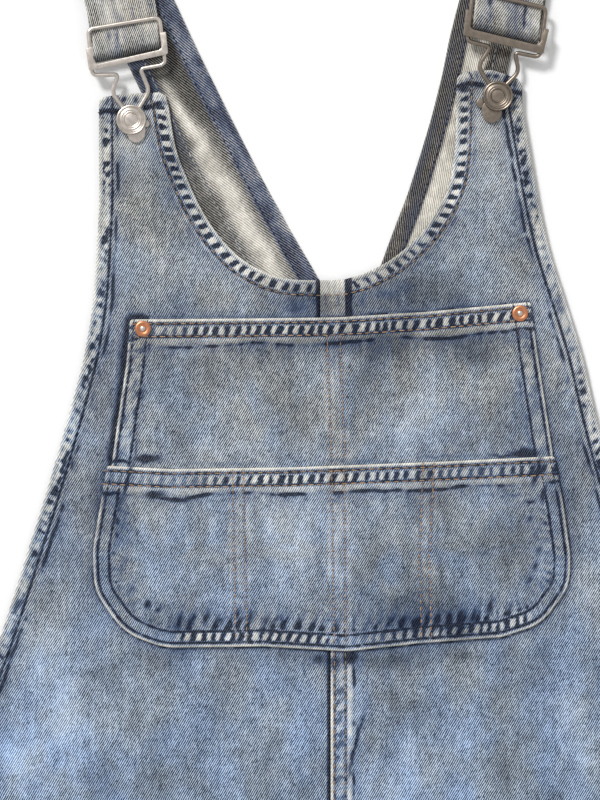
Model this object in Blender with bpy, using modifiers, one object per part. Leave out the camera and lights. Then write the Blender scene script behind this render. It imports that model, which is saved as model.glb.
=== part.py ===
"""A denim pinafore dress, laid flat on its back.

Metres, +Z up. The back panels rest on z = 0, the front lies on them, and the straps come out
from under the bib, fold over at the shoulder and end in buckles hooked to the bib's buttons.
+Y points to the shoulders. "left" and "right" are as seen from above.
"""

import math

import bpy
from mathutils import Vector

mm = 0.001

# Cloth
clothThick = 1.2 * mm
strapThick = 2.0 * mm
seamGap = 0.3 * mm
cell = 21.3 * mm  # the grid that all front pieces share
hemY = -466.2 * mm
hemRise = 13 * mm  # the hem is this much higher at the side seams
hemHalf = 305 * mm
seamX = -2 * mm  # centre seams

# Height of the front's underside
edgeLift = 1.5 * mm
bodyLift = 2.8 * mm
tabLift = 3.6 * mm
pocketStep = clothThick + seamGap  # from one layer to the next

# Straps and buckles, heights of centre lines
strapWidth = 38 * mm
floorLevel = strapThick / 2
tailLevel = 3.35 * mm
frontLevel = 5.8 * mm
rollRadius = 2.4 * mm
barLevel = tailLevel + rollRadius
barRadius = 1.1 * mm
wireRadius = 1.05 * mm
hookLevel = 6.2 * mm
plateBottom = 9.55 * mm
plateThick = 0.9 * mm
flangeBottom = 4.6 * mm
flangeThick = 0.7 * mm
tongueThick = 1.2 * mm
skin = 0.05 * mm  # keeps joined faces off each other
aboveAll = 20 * mm

# Buttons and rivets
capRadius = 8.3 * mm
shankRadius = 1.9 * mm
nailRadius = 1.0 * mm
nailHole = 1.3 * mm

# Looks: colour, roughness, metallic
denim = ((0.24, 0.31, 0.42, 1), 0.9, 0.0)
denimInside = ((0.50, 0.48, 0.44, 1), 0.92, 0.0)
nickel = ((0.58, 0.53, 0.48, 1), 0.35, 1.0)
darkNickel = ((0.36, 0.31, 0.27, 1), 0.38, 1.0)
copper = ((0.72, 0.36, 0.22, 1), 0.35, 1.0)

# Free edges of the front: y, left x, right x
armhole = (
    (364, -130.4, 102.6),
    (342, -130.4, 106.3),
    (314, -130.3, 111.3),
    (286, -131.7, 117.6),
    (259, -133.6, 126.1),
    (230, -138.2, 135.0),
    (204, -144.7, 141.0),
    (176, -152.6, 147.8),
    (149, -160.6, 155.8),
    (122, -169.2, 164.6),
    (95, -177.6, 173.0),
    (60, -189.6, 185.5),
    (10, -208.2, 205.0),
    (-44, -228, 228),
)
neckline = (
    (366, -92.2, 66.1),
    (342, -88.0, 65.4),
    (322, -80.4, 62.2),
    (306, -72.6, 54.6),
    (292, -62.8, 43.5),
    (280.5, -51.0, 29.8),
    (272.6, -36.5, 14.5),
)
neckLow = 269.4  # the neckline's lowest y
backEdge = (
    (-44, -228, 228),
    (0, -196, 196),
    (50, -152, 153),
    (100, -112, 118),
    (150, -80, 92),
    (200, -52, 66),
    (236, -34.4, 51.2),
)
backSeamTop = 8.9

# Soft ridges of the skirt: where each starts and ends, half its width, its height
folds = (
    (-150, 40, -190, -430, 36, 1.6),
    (-92, 20, -112, -440, 32, 1.3),
    (-40, -40, -48, -450, 28, 1.5),
    (30, 30, 38, -445, 30, 1.4),
    (94, 45, 118, -435, 34, 1.7),
    (165, 0, 205, -425, 32, 1.4),
)

# Outlines: x, y, corner radius
upperPocket = (
    (-113.2, 247.8, 2),
    (-60, 248.2, 0),
    (0, 248.9, 0),
    (50, 252.0, 0),
    (107.0, 257.4, 2),
    (111.0, 228, 0),
    (119.0, 176, 0),
    (121.5, 150, 3),
    (-126.0, 150, 3),
    (-119.4, 196, 0),
    (-115.2, 224, 0),
)
lowerPocket = (
    (-126.0, 167.4, 2),
    (-91.0, 165.5, 0),
    (-24.0, 166.5, 0),
    (60.0, 169.7, 0),
    (120.2, 172.6, 2),
    (124.9, 146.3, 0),
    (128.9, 118.0, 40),
    (128.4, 100.8, 24),
    (112.9, 80.3, 28),
    (91.0, 73.1, 0),
    (45.0, 69.6, 0),
    (6.0, 65.2, 30),
    (-40.0, 68.0, 0),
    (-95.0, 67.2, 40),
    (-116.6, 75.4, 34),
    (-132.9, 98.5, 28),
    (-133.7, 121.0, 40),
)

# Straps, from the back panel to the shoulder: x, y, tilt of the section, width
leftBack = (
    (-12.85, 236.3, 0, 42.9),
    (-25.6, 260.1, 29, 38),
    (-42.5, 289, 29, 38),
    (-58.6, 318.4, 28, 38),
    (-75.0, 350.5, 26.5, 38),
    (-91.9, 384.6, 25.5, 38),
    (-106.8, 416.5, 24, 38),
    (-120.5, 443.0, 21, 38),
)
rightBack = (
    (30.1, 236.3, 0, 41.8),
    (38.5, 260.5, -25, 38),
    (48.2, 286.8, -24, 38),
    (57.0, 309.5, -21, 38),
    (63.8, 332.0, -17.5, 37),
    (70.0, 354.5, -15.5, 36),
    (75.2, 377.0, -13, 35),
    (79.6, 399.0, -12, 35),
    (86.0, 422.0, -14, 36),
    (94.0, 443.0, -15, 37),
)
# Each side's shoulder fold, front run and buckle
sides = {
    "left": {
        "fold": (-127.5, 456.8, 18),
        "front": ((-124.6, 446.0, 15, 38), (-118.9, 423.5, 12, 38), (-116.6, 411.5, 11.5, 37.5)),
        "bar": (-114.9, 395.7, 11.9),
        "tail": ((-116.4, 404.0, 11.9, 37), (-119.2, 423.0, 12, 37), (-121.6, 434.0, 13, 37)),
        # Wire, clockwise from the top left corner: x, y, level, corner radius
        "wire": (
            (-136.2, 407.1, 8.2, 3.5),
            (-97.1, 413.8, 8.2, 3.5),
            (-93.9, 387.8, 8.1, 3.2),
            (-107.5, 385.5, 7.6, 1.8),
            (-102.6, 373.6, 6.5, 7),
            (-109.2, 362.5, 6.2, 3),
            (-109.2, 353.9, 6.2, 3.1),
            (-115.8, 353.9, 6.2, 3.1),
            (-115.8, 362.5, 6.2, 3),
            (-123.3, 372.5, 6.5, 7),
            (-119.6, 382.3, 7.6, 1.8),
            (-133.8, 381.8, 8.1, 3),
        ),
        "plate": (
            (-137.6, 396.3, 0.6),
            (-135.6, 383.9, 1.4),
            (-92.2, 393.3, 1.4),
            (-93.6, 405.8, 0.6),
            (-96.5, 405.3, 0.6),
            (-95.5, 396.0, 3),
            (-132.9, 387.6, 3),
            (-134.7, 396.8, 0.6),
        ),
        "button": (-112.5, 357.4),
        "tongue": (-109.9, 351.3, 5.2, 6.4),
        "lobe": (-104.4, 355.4, 1.9),
        "rivet": (-106.2, 242.7),
        "metal": nickel,
    },
    "right": {
        "fold": (99.0, 459.3, -11),
        "front": ((99.2, 447.0, -10.5, 38), (95.8, 428.0, -12, 38), (95.0, 423.8, -12.6, 37.5)),
        "bar": (93.2, 406.0, -12.6),
        "tail": ((95.0, 414.0, -12.6, 37), (98.6, 434.0, -12, 37), (100.0, 445.0, -11, 37)),
        "wire": (
            (75.2, 428.3, 8.2, 3.5),
            (115.4, 418.7, 8.2, 3.5),
            (111.8, 391.7, 8.1, 3),
            (98.2, 394.5, 7.6, 1.8),
            (100.6, 383.8, 6.5, 7),
            (92.15, 375.5, 6.2, 3),
            (92.15, 366.9, 6.2, 3.1),
            (85.55, 366.9, 6.2, 3.1),
            (85.55, 375.5, 6.2, 3),
            (77.9, 386.6, 6.5, 7),
            (84.8, 397.6, 7.6, 1.8),
            (72.1, 400.7, 8.1, 3),
        ),
        "plate": (
            (71.4, 417.9, 0.6),
            (69.6, 403.6, 1.4),
            (113.7, 393.1, 1.4),
            (116.9, 406.9, 0.6),
            (114.2, 407.4, 0.6),
            (111.7, 398.0, 3),
            (73.5, 407.3, 3),
            (74.6, 417.5, 0.6),
        ),
        "button": (88.85, 370.4),
        "tongue": (85.6, 362.4, 5.6, 6.6),
        "lobe": (79.6, 366.6, 2.6),
        "rivet": (101.2, 251.1),
        "metal": darkNickel,
    },
}

for thing in list(bpy.data.objects):
    bpy.data.objects.remove(thing)


def newCollection(name):
    collection = bpy.data.collections.new(name)
    bpy.context.scene.collection.children.link(collection)
    return collection


dress = newCollection("pinafore_dress")
cutters = newCollection("cutters")


def finish(thing, look):
    """Gives a part its own material and its place in the dress's collection."""
    colour, roughness, metallic = look
    material = bpy.data.materials.new(thing.name)
    material.use_nodes = True
    shader = material.node_tree.nodes["Principled BSDF"]
    shader.inputs["Base Color"].default_value = colour
    shader.inputs["Roughness"].default_value = roughness
    shader.inputs["Metallic"].default_value = metallic
    thing.data.materials.clear()
    thing.data.materials.append(material)
    for collection in list(thing.users_collection):
        collection.objects.unlink(thing)
    dress.objects.link(thing)
    return thing


def asCutter(thing):
    thing.hide_render = True
    thing.display_type = "WIRE"
    for collection in list(thing.users_collection):
        collection.objects.unlink(thing)
    cutters.objects.link(thing)
    return thing


def cut(thing, other, operation):
    modifier = thing.modifiers.new(operation.lower(), "BOOLEAN")
    modifier.operation = operation
    modifier.solver = "EXACT"
    modifier.object = asCutter(other)


def toMesh(curveObject):
    """The closed mesh of a curve object, which it replaces."""
    bpy.context.view_layer.update()
    evaluated = curveObject.evaluated_get(bpy.context.evaluated_depsgraph_get())
    mesh = bpy.data.meshes.new_from_object(evaluated)
    thing = bpy.data.objects.new(curveObject.name, mesh)
    thing.matrix_world = curveObject.matrix_world
    name = curveObject.name
    bpy.data.objects.remove(curveObject)
    thing.name = name
    bpy.context.scene.collection.objects.link(thing)
    bpy.context.view_layer.objects.active = thing
    weld = thing.modifiers.new("weld", "WELD")
    weld.merge_threshold = 0.00001
    return thing


def rounded(corners, steps):
    """The closed outline through corners (x, y, ..., radius in mm), with arcs of some steps."""
    outline = []
    count = len(corners)
    for i, corner in enumerate(corners):
        here = Vector(corner[:-1])
        radius = corner[-1]
        before = Vector(corners[i - 1][:-1])
        after = Vector(corners[(i + 1) % count][:-1])
        if radius == 0:
            outline.append(here)
            continue
        back = (before - here).normalized()
        ahead = (after - here).normalized()
        half = back.angle(ahead) / 2
        reach = min(radius / math.tan(half), 0.48 * min((before - here).length, (after - here).length))
        start = here + back * reach
        end = here + ahead * reach
        for step in range(steps + 1):
            t = step / steps
            outline.append((1 - t) ** 2 * start + 2 * t * (1 - t) * here + t * t * end)
    return [p * mm for p in outline]


def flatShape(name, outline, bottom, top):
    """A closed flat outline in metres, extruded between two heights."""
    curve = bpy.data.curves.new(name, "CURVE")
    curve.dimensions = "2D"
    curve.fill_mode = "BOTH"
    curve.extrude = (top - bottom) / 2
    spline = curve.splines.new("POLY")
    spline.points.add(len(outline) - 1)
    for point, place in zip(spline.points, outline):
        point.co = (place[0], place[1], 0, 1)
    spline.use_cyclic_u = True
    thing = bpy.data.objects.new(name, curve)
    bpy.context.scene.collection.objects.link(thing)
    thing.location.z = (top + bottom) / 2
    return toMesh(thing)


def smoothStep(value):
    t = min(max(value, 0), 1)
    return t * t * (3 - 2 * t)


def alongRows(rows, y, column):
    """The value in a column of a table whose first column is y, falling or rising."""
    ordered = sorted(rows)
    for low, high in zip(ordered, ordered[1:]):
        if y <= high[0]:
            t = (y - low[0]) / (high[0] - low[0])
            return low[column] + max(t, 0) * (high[column] - low[column])
    return ordered[-1][column]


def halfWidth(y):
    """Half the dress's width at y, in mm."""
    side = armhole[-1]
    if y >= side[0]:
        return (alongRows(armhole, y, 2) - alongRows(armhole, y, 1)) / 2
    t = (side[0] - y) / (side[0] - hemY / mm)
    return side[2] + t * (hemHalf / mm - side[2])


def foldHeight(x, y):
    """What the skirt's ridges add at a point, all in mm."""
    total = 0
    for topX, topY, lowX, lowY, reach, height in folds:
        along = (topY - y) / (topY - lowY)
        away = abs(x - topX - along * (lowX - topX)) / reach
        if away < 1:
            total += height * smoothStep(1 - away) * smoothStep(along * 3)
    return total


def frontLift(x, y):
    """The height of the front's underside at a point in metres."""
    x, y = x / mm, y / mm
    inward = smoothStep((1 - abs(x) / halfWidth(y)) / 0.22)
    skirt = 1 - smoothStep((y - armhole[-1][0]) / 120)
    low = bodyLift - (bodyLift - edgeLift) * (1 - inward) * skirt
    tab = smoothStep((y - 300) / 45)
    return low + (tabLift - bodyLift) * tab + foldHeight(x, y) * inward * mm


def clothSheet(name, outline, extra, look):
    """A wall of cloth on the front's grid, cut to an outline. extra(x, y) is its step above the front."""
    lowX = math.floor(min(p[0] for p in outline) / cell - 0.5)
    highX = math.ceil(max(p[0] for p in outline) / cell + 0.5)
    lowY = math.floor(min(p[1] for p in outline) / cell - 0.5)
    highY = math.ceil(max(p[1] for p in outline) / cell + 0.5)
    bpy.ops.mesh.primitive_grid_add(x_subdivisions=highX - lowX, y_subdivisions=highY - lowY, size=1)
    thing = bpy.context.object
    thing.name = name
    for vertex in thing.data.vertices:
        x = (lowX + (vertex.co.x + 0.5) * (highX - lowX)) * cell
        y = (lowY + (vertex.co.y + 0.5) * (highY - lowY)) * cell
        vertex.co = (x, y, frontLift(x, y) + extra(x, y))
    solidify = thing.modifiers.new("cloth", "SOLIDIFY")
    solidify.thickness = clothThick
    solidify.offset = 1
    cut(thing, flatShape(name + "_outline", outline, -clothThick, aboveAll), "INTERSECT")
    return finish(thing, look)


def hem(fromX, toX, steps):
    """Points along the curved hem."""
    places = []
    for i in range(steps + 1):
        x = fromX + (toX - fromX) * i / steps
        places.append((x, hemY + hemRise * (x / hemHalf) ** 2))
    return places


def inMetres(places):
    return [(x * mm, y * mm) for x, y in places]


# Front
tabTopLeft = [(-130, 368.2), (-127.6, 370.2), (-119.6, 371.5), (-108, 372.2), (-97, 372.8), (-93.6, 371)]
tabTopRight = [(66.6, 380.6), (69.5, 383.6), (78, 384.8), (86, 385), (93, 382.8), (100, 380.2), (102.2, 377)]


def smoothEdge(rows, column, steps):
    """A table's edge as a smooth curve, from its first row to its last."""
    places = [Vector((row[column], row[0])) for row in rows]
    curve = []
    for i in range(len(places) - 1):
        before = places[max(i - 1, 0)]
        a, b = places[i], places[i + 1]
        after = places[min(i + 2, len(places) - 1)]
        for step in range(steps):
            t = step / steps
            bend = (b - before) * t + (2 * before - 5 * a + 4 * b - after) * t * t
            bend += (3 * a - before - 3 * b + after) * t * t * t
            curve.append(tuple(a + bend / 2))
    curve.append(tuple(places[-1]))
    return curve


leftNeck = smoothEdge(neckline, 1, 2) + [(-20.4, neckLow + 0.2)]
rightNeck = smoothEdge(neckline, 2, 2) + [(5, neckLow + 0.6)]
halfGap = seamGap / 2

frontLeft = hem(seamX - halfGap, -hemHalf, 8)
frontLeft += inMetres(smoothEdge(armhole, 1, 2)[::-1] + tabTopLeft + leftNeck)
frontLeft += [(seamX - halfGap, neckLow * mm)]
frontRight = hem(seamX + halfGap, hemHalf, 8)
frontRight += inMetres(smoothEdge(armhole, 2, 2)[::-1] + tabTopRight[::-1] + rightNeck)
frontRight += [(seamX + halfGap, neckLow * mm)]


def noStep(x, y):
    return 0


def upperStep(x, y):
    return pocketStep


def lowerStep(x, y):
    return pocketStep * (1 + smoothStep((y / mm - 108) / 24))


panels = {
    "left": clothSheet("front_left", frontLeft, noStep, denim),
    "right": clothSheet("front_right", frontRight, noStep, denim),
}
upper = clothSheet("upper_pocket", rounded(upperPocket, 2), upperStep, denim)
lower = clothSheet("lower_pocket", rounded(lowerPocket, 5), lowerStep, denim)

# Back
topY = backEdge[-1][0] * mm
for side, sign, column in (("left", -1, 1), ("right", 1, 2)):
    outline = hem(seamX + sign * halfGap, sign * hemHalf, 8)
    outline += inMetres(smoothEdge(backEdge, column, 2))
    outline += [(backSeamTop * mm + sign * halfGap, topY)]
    finish(flatShape("back_" + side, outline, 0, clothThick), denim)


def band(name, sections, look):
    """A strap: sections of (x, y, z, tilt in degrees, width) in metres, given the cloth's thickness."""
    vertices, faces = [], []
    for x, y, z, tilt, width in sections:
        across = Vector((math.cos(math.radians(tilt)), math.sin(math.radians(tilt)), 0)) * width / 2
        centre = Vector((x, y, z))
        vertices += [centre - across, centre + across]
    for i in range(len(sections) - 1):
        faces.append((2 * i, 2 * i + 1, 2 * i + 3, 2 * i + 2))
    mesh = bpy.data.meshes.new(name)
    mesh.from_pydata(vertices, [], faces)
    thing = bpy.data.objects.new(name, mesh)
    bpy.context.scene.collection.objects.link(thing)
    solidify = thing.modifiers.new("cloth", "SOLIDIFY")
    solidify.thickness = strapThick
    solidify.offset = 0
    return finish(thing, look)


def halfTurn(centre, tilt, width, low, high, steps, upwards):
    """Sections round a cross bar or fold, between two levels."""
    radius = (high - low) / 2
    travel = Vector((-math.sin(math.radians(tilt)), math.cos(math.radians(tilt))))
    sections = []
    for i in range(steps + 1):
        angle = math.pi * (i / steps) - math.pi / 2
        reach = math.cos(angle) * radius * (1 if upwards else -1)
        level = (low + high) / 2 + math.sin(angle) * radius * (1 if upwards else -1)
        sections.append((centre[0] + travel.x * reach, centre[1] + travel.y * reach, level, tilt, width))
    return sections


def level(rows, height):
    return [(x * mm, y * mm, height, tilt, width * mm) for x, y, tilt, width in rows]


for name, back in (("left", leftBack), ("right", rightBack)):
    side = sides[name]
    foldX, foldY, foldTilt = side["fold"]
    barX, barY, barTilt = side["bar"]
    top = Vector(side["front"][-1][:2])
    bar = Vector((barX, barY))
    sections = level(back, floorLevel)
    sections += halfTurn((foldX * mm, foldY * mm), foldTilt, strapWidth, floorLevel, frontLevel, 8, True)
    sections += level(side["front"], frontLevel)
    rollTop = barLevel + rollRadius
    for t in (0.3, 0.55, 0.8):
        place = top.lerp(bar, t) * mm
        rise = frontLevel + (rollTop - frontLevel) * smoothStep(t * 1.1)
        sections.append((place.x, place.y, rise, barTilt, 37 * mm))
    sections += halfTurn((barX * mm, barY * mm), barTilt, 37 * mm, tailLevel, rollTop, 8, False)
    sections += level(side["tail"], tailLevel)
    band("strap_" + name, sections, denimInside)


def disc(name, centre, radii, bottom, top, corners):
    """A flat round or oval plate."""
    bpy.ops.mesh.primitive_cylinder_add(vertices=corners, radius=1, depth=1)
    thing = bpy.context.object
    thing.name = name
    for vertex in thing.data.vertices:
        vertex.co.x = vertex.co.x * radii[0] + centre[0]
        vertex.co.y = vertex.co.y * radii[1] + centre[1]
        vertex.co.z = (bottom + top) / 2 + vertex.co.z * (top - bottom)
    return thing


def turned(name, profile, centre, look, steps):
    """A solid of revolution from (radius, height) rows in mm, top to bottom."""
    mesh = bpy.data.meshes.new(name)
    vertices = [(r * mm, 0, z * mm) for r, z in profile]
    mesh.from_pydata(vertices, [(i, i + 1) for i in range(len(vertices) - 1)], [])
    thing = bpy.data.objects.new(name, mesh)
    thing.location = (centre[0] * mm, centre[1] * mm, 0)
    bpy.context.scene.collection.objects.link(thing)
    screw = thing.modifiers.new("turn", "SCREW")
    screw.steps = steps
    screw.render_steps = steps
    screw.use_merge_vertices = True
    screw.merge_threshold = 0.00001
    return finish(thing, look)


def wireLoop(name, corners):
    """A closed bent wire through corners (x, y, z, radius) in mm."""
    curve = bpy.data.curves.new(name, "CURVE")
    curve.dimensions = "3D"
    curve.bevel_depth = wireRadius
    curve.bevel_resolution = 2
    route = rounded(corners, 4)
    spline = curve.splines.new("POLY")
    spline.points.add(len(route) - 1)
    for point, place in zip(spline.points, route):
        point.co = (*place, 1)
    spline.use_cyclic_u = True
    thing = bpy.data.objects.new(name, curve)
    bpy.context.scene.collection.objects.link(thing)
    return toMesh(thing)


def rod(name, start, end, radius):
    curve = bpy.data.curves.new(name, "CURVE")
    curve.dimensions = "3D"
    curve.bevel_depth = radius
    curve.bevel_resolution = 2
    curve.use_fill_caps = True
    spline = curve.splines.new("POLY")
    spline.points.add(1)
    spline.points[0].co = (*start, 1)
    spline.points[1].co = (*end, 1)
    thing = bpy.data.objects.new(name, curve)
    bpy.context.scene.collection.objects.link(thing)
    return toMesh(thing)


def clothTop(x, y):
    return frontLift(x * mm, y * mm) / mm + clothThick / mm


for name, side in sides.items():
    # Hook: a wire loop with a tongue plate, which the button's shank passes through
    hook = wireLoop("hook_" + name, side["wire"])
    x, y, rx, ry = side["tongue"]
    bottom, top = hookLevel - tongueThick / 2, hookLevel + tongueThick / 2
    tongue = disc("tongue_" + name, (x * mm, y * mm), (rx * mm, ry * mm), bottom, top, 24)
    cut(hook, tongue, "UNION")
    x, y, r = side["lobe"]
    lobe = disc("lobe_" + name, (x * mm, y * mm), (r * mm, r * mm), bottom + skin, top - skin, 12)
    cut(hook, lobe, "UNION")
    x, y = side["button"]
    clear = shankRadius + seamGap
    cut(hook, disc("shank_way_" + name, (x * mm, y * mm), (clear, clear), 0, aboveAll, 20), "DIFFERENCE")
    finish(hook, side["metal"])

    # Slider: a stamped frame over the wire, with flanges down to the bar that the strap rolls round
    slider = flatShape("slider_" + name, rounded(side["plate"], 3), plateBottom, plateBottom + plateThick)
    barX, barY, barTilt = side["bar"]
    across = Vector((math.cos(math.radians(barTilt)), math.sin(math.radians(barTilt)), 0))
    outer = [Vector(side["plate"][i][:2]) * mm for i in (0, 1, 2, 3)]
    middle = Vector((barX * mm, barY * mm, barLevel))
    for tag, high, low, inward in (("l", outer[0], outer[1], 1), ("r", outer[3], outer[2], -1)):
        run = low - high
        a, b = high + run * 0.03, high + run * 0.85
        shift = Vector((across.x, across.y)) * inward
        near, far = shift * skin, shift * (skin + flangeThick)
        outline = [a + near, b + near, b + far, a + far]
        if inward < 0:
            outline.reverse()
        flange = flatShape("flange_" + tag + "_" + name, outline, flangeBottom, plateBottom + plateThick / 2)
        cut(slider, flange, "UNION")
    halfBar = ((outer[3] + outer[2]) - (outer[0] + outer[1])).length / 4 - flangeThick / 2
    mid = (outer[0] + outer[1] + outer[2] + outer[3]) / 4
    offset = across * (Vector((mid.x, mid.y, 0)) - Vector((middle.x, middle.y, 0))).dot(across)
    middle += offset
    bar = rod("bar_" + name, middle - across * halfBar, middle + across * halfBar, barRadius)
    cut(slider, bar, "UNION")
    finish(slider, side["metal"])

    # Shank button: cap, shank and nail through the bib, with a tack behind it
    x, y = side["button"]
    cloth = clothTop(x, y)
    cap = hookLevel / mm + wireRadius / mm + 0.35
    big = capRadius / mm
    buttonProfile = (
        (0, cap + 1.9),
        (3.3, cap + 1.9),
        (3.6, cap + 1.6),
        (big - 1.5, cap + 1.6),
        (big - 0.9, cap + 2.2),
        (big - 0.3, cap + 2.0),
        (big, cap + 1.3),
        (big - 0.2, cap + 0.3),
        (big - 1.2, cap),
        (shankRadius / mm, cap),
        (shankRadius / mm, cloth + 0.3),
        (nailRadius / mm, cloth + 0.3),
        (nailRadius / mm, cloth - 1.5),
        (4.3, cloth - 1.5),
        (4.5, cloth - 1.8),
        (4.2, cloth - 2.3),
        (0, cloth - 2.4),
    )
    turned("button_" + name, buttonProfile, (x, y), side["metal"], 28)
    hole = disc("button_hole_" + name, (x * mm, y * mm), (nailHole, nailHole), 0, aboveAll, 16)
    cut(panels[name], hole, "DIFFERENCE")

    # Rivet through pocket and bib
    x, y = side["rivet"]
    cloth = clothTop(x, y)
    pocket = cloth + pocketStep / mm
    rivetProfile = (
        (0, pocket + 2.2),
        (0.9, pocket + 2.1),
        (1.4, pocket + 1.3),
        (2.2, pocket + 1.2),
        (3.8, pocket + 1.2),
        (4.4, pocket + 0.7),
        (4.4, pocket + 0.3),
        (nailRadius / mm, pocket + 0.3),
        (nailRadius / mm, cloth - 1.5),
        (3.5, cloth - 1.5),
        (3.8, cloth - 1.8),
        (3.5, cloth - 2.2),
        (0, cloth - 2.3),
    )
    turned("rivet_" + name, rivetProfile, (x, y), copper, 24)
    for tag, thing in (("front", panels[name]), ("pocket", upper)):
        hole = disc(f"rivet_hole_{tag}_{name}", (x * mm, y * mm), (nailHole, nailHole), 0, aboveAll, 16)
        cut(thing, hole, "DIFFERENCE")

for thing in dress.objects:
    if thing.name.startswith(("button", "rivet", "hook")):
        thing.data.shade_smooth()
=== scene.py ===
import math

import bpy
import numpy as np
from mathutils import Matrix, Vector
from mathutils.geometry import delaunay_2d_cdt


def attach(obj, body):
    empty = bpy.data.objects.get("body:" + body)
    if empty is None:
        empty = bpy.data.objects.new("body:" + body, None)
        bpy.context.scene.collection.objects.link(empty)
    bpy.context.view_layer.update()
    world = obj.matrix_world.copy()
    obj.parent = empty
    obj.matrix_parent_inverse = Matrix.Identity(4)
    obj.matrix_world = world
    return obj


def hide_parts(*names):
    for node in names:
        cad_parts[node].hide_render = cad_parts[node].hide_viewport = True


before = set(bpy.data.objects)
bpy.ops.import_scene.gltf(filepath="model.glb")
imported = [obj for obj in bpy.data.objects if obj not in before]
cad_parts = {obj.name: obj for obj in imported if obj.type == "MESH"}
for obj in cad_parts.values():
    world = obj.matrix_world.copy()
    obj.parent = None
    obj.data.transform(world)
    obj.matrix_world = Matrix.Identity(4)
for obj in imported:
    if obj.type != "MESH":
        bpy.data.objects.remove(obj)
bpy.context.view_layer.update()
mm = 0.001
print("frame loaded:", len(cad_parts), "CAD nodes")

# camera, floor and light
view = {"centre": (-19.8, 203.5), "frameHeight": 440, "distance": 2200, "clothLevel": 5}

bpy.ops.object.camera_add(location=(view["centre"][0] * mm, view["centre"][1] * mm,
                                    (view["distance"] + view["clothLevel"]) * mm), rotation=(0, 0, 0))
camera = bpy.context.object
camera.data.sensor_width = 36
camera.data.lens = 36 * view["distance"] / view["frameHeight"]
camera.data.clip_start = 0.05
bpy.context.scene.camera = camera

studio = {"floorSize": 60.0, "floorColour": (0.93, 0.93, 0.93), "world": 0.62, "sun": 2.3, "sunSoft": 14,
          "sunTilt": (-34, -30)}


def plainMaterial(name, colour, roughness):
    material = bpy.data.materials.new(name)
    material.use_nodes = True
    shader = material.node_tree.nodes["Principled BSDF"]
    shader.inputs["Base Color"].default_value = (*colour, 1)
    shader.inputs["Roughness"].default_value = roughness
    return material


bpy.ops.mesh.primitive_plane_add(size=studio["floorSize"], location=(0, 0, -0.0006))
floor = bpy.context.object
floor.name = "floor"
floor.data.materials.append(plainMaterial("paleFloor", studio["floorColour"], 0.9))

world = bpy.data.worlds.new("studioWorld")
world.use_nodes = True
world.node_tree.nodes["Background"].inputs["Color"].default_value = (1, 1, 1, 1)
world.node_tree.nodes["Background"].inputs["Strength"].default_value = studio["world"]
bpy.context.scene.world = world

bpy.ops.object.light_add(type="SUN", location=(-1, 1, 2))
sun = bpy.context.object
sun.data.energy = studio["sun"]
sun.data.angle = math.radians(studio["sunSoft"])
sun.rotation_euler = (math.radians(studio["sunTilt"][0]), math.radians(studio["sunTilt"][1]), 0)
bpy.context.scene.view_settings.view_transform = "Standard"


# every piece rides on the one body, and hides the solid it stands for
def declare(piece, node):
    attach(piece, "root")
    if node:
        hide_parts(node)


# a number for each vertex, which the material reads
def addField(mesh, key, values):
    attribute = mesh.attributes.new(key, "FLOAT", "POINT")
    attribute.data.foreach_set("value", values.astype(np.float32))


def newPiece(name, mesh):
    thing = bpy.data.objects.new(name, mesh)
    bpy.context.scene.collection.objects.link(thing)
    return thing


# cloth sizes, all in mm
cloth = {"thick": 0.9, "leastWall": 0.25, "gap": 0.05, "hemExtra": 0.75, "edgeRound": 0.7,
         "fine": 1.0, "middle": 2.2, "coarse": 8.0, "rings": (0.35, 0.9), "ringClear": 1.5, "hemReach": 42}
levels = {"edge": 1.5, "body": 2.8, "tab": 3.6, "pocketStep": 1.5, "hemY": -466.2, "hemRise": 13,
          "hemHalf": 305}
seam = {"x": -2.0, "neckX": -8.8, "foldX": -3.0, "neckLow": 269.4}

# free edges of the front: y, left x, right x
armhole = np.array((
    (364, -130.4, 102.6), (342, -130.4, 106.3), (314, -130.3, 111.3), (286, -131.7, 117.6),
    (259, -133.6, 126.1), (230, -138.2, 135.0), (204, -144.7, 141.0), (176, -152.6, 147.8),
    (149, -160.6, 155.8), (122, -169.2, 164.6), (95, -177.6, 173.0), (60, -189.6, 185.5),
    (10, -208.2, 205.0), (-44, -228, 228)))
neckline = np.array((
    (366, -92.2, 66.1), (342, -88.0, 65.4), (322, -80.4, 62.2), (306, -72.6, 54.6),
    (292, -62.8, 43.5), (280.5, -51.0, 29.8), (272.6, -36.5, 14.5)))
backEdge = np.array((
    (-44, -228, 228), (0, -196, 196), (50, -152, 153), (100, -112, 118),
    (150, -80, 92), (200, -52, 66), (236, -34.4, 51.2)))
# soft ridges of the skirt: start, end, half width, height
skirtFolds = (
    (-150, 40, -190, -430, 36, 1.6), (-92, 20, -112, -440, 32, 1.3), (-40, -40, -48, -450, 28, 1.5),
    (30, 30, 38, -445, 30, 1.4), (94, 45, 118, -435, 34, 1.7), (165, 0, 205, -425, 32, 1.4))
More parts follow.
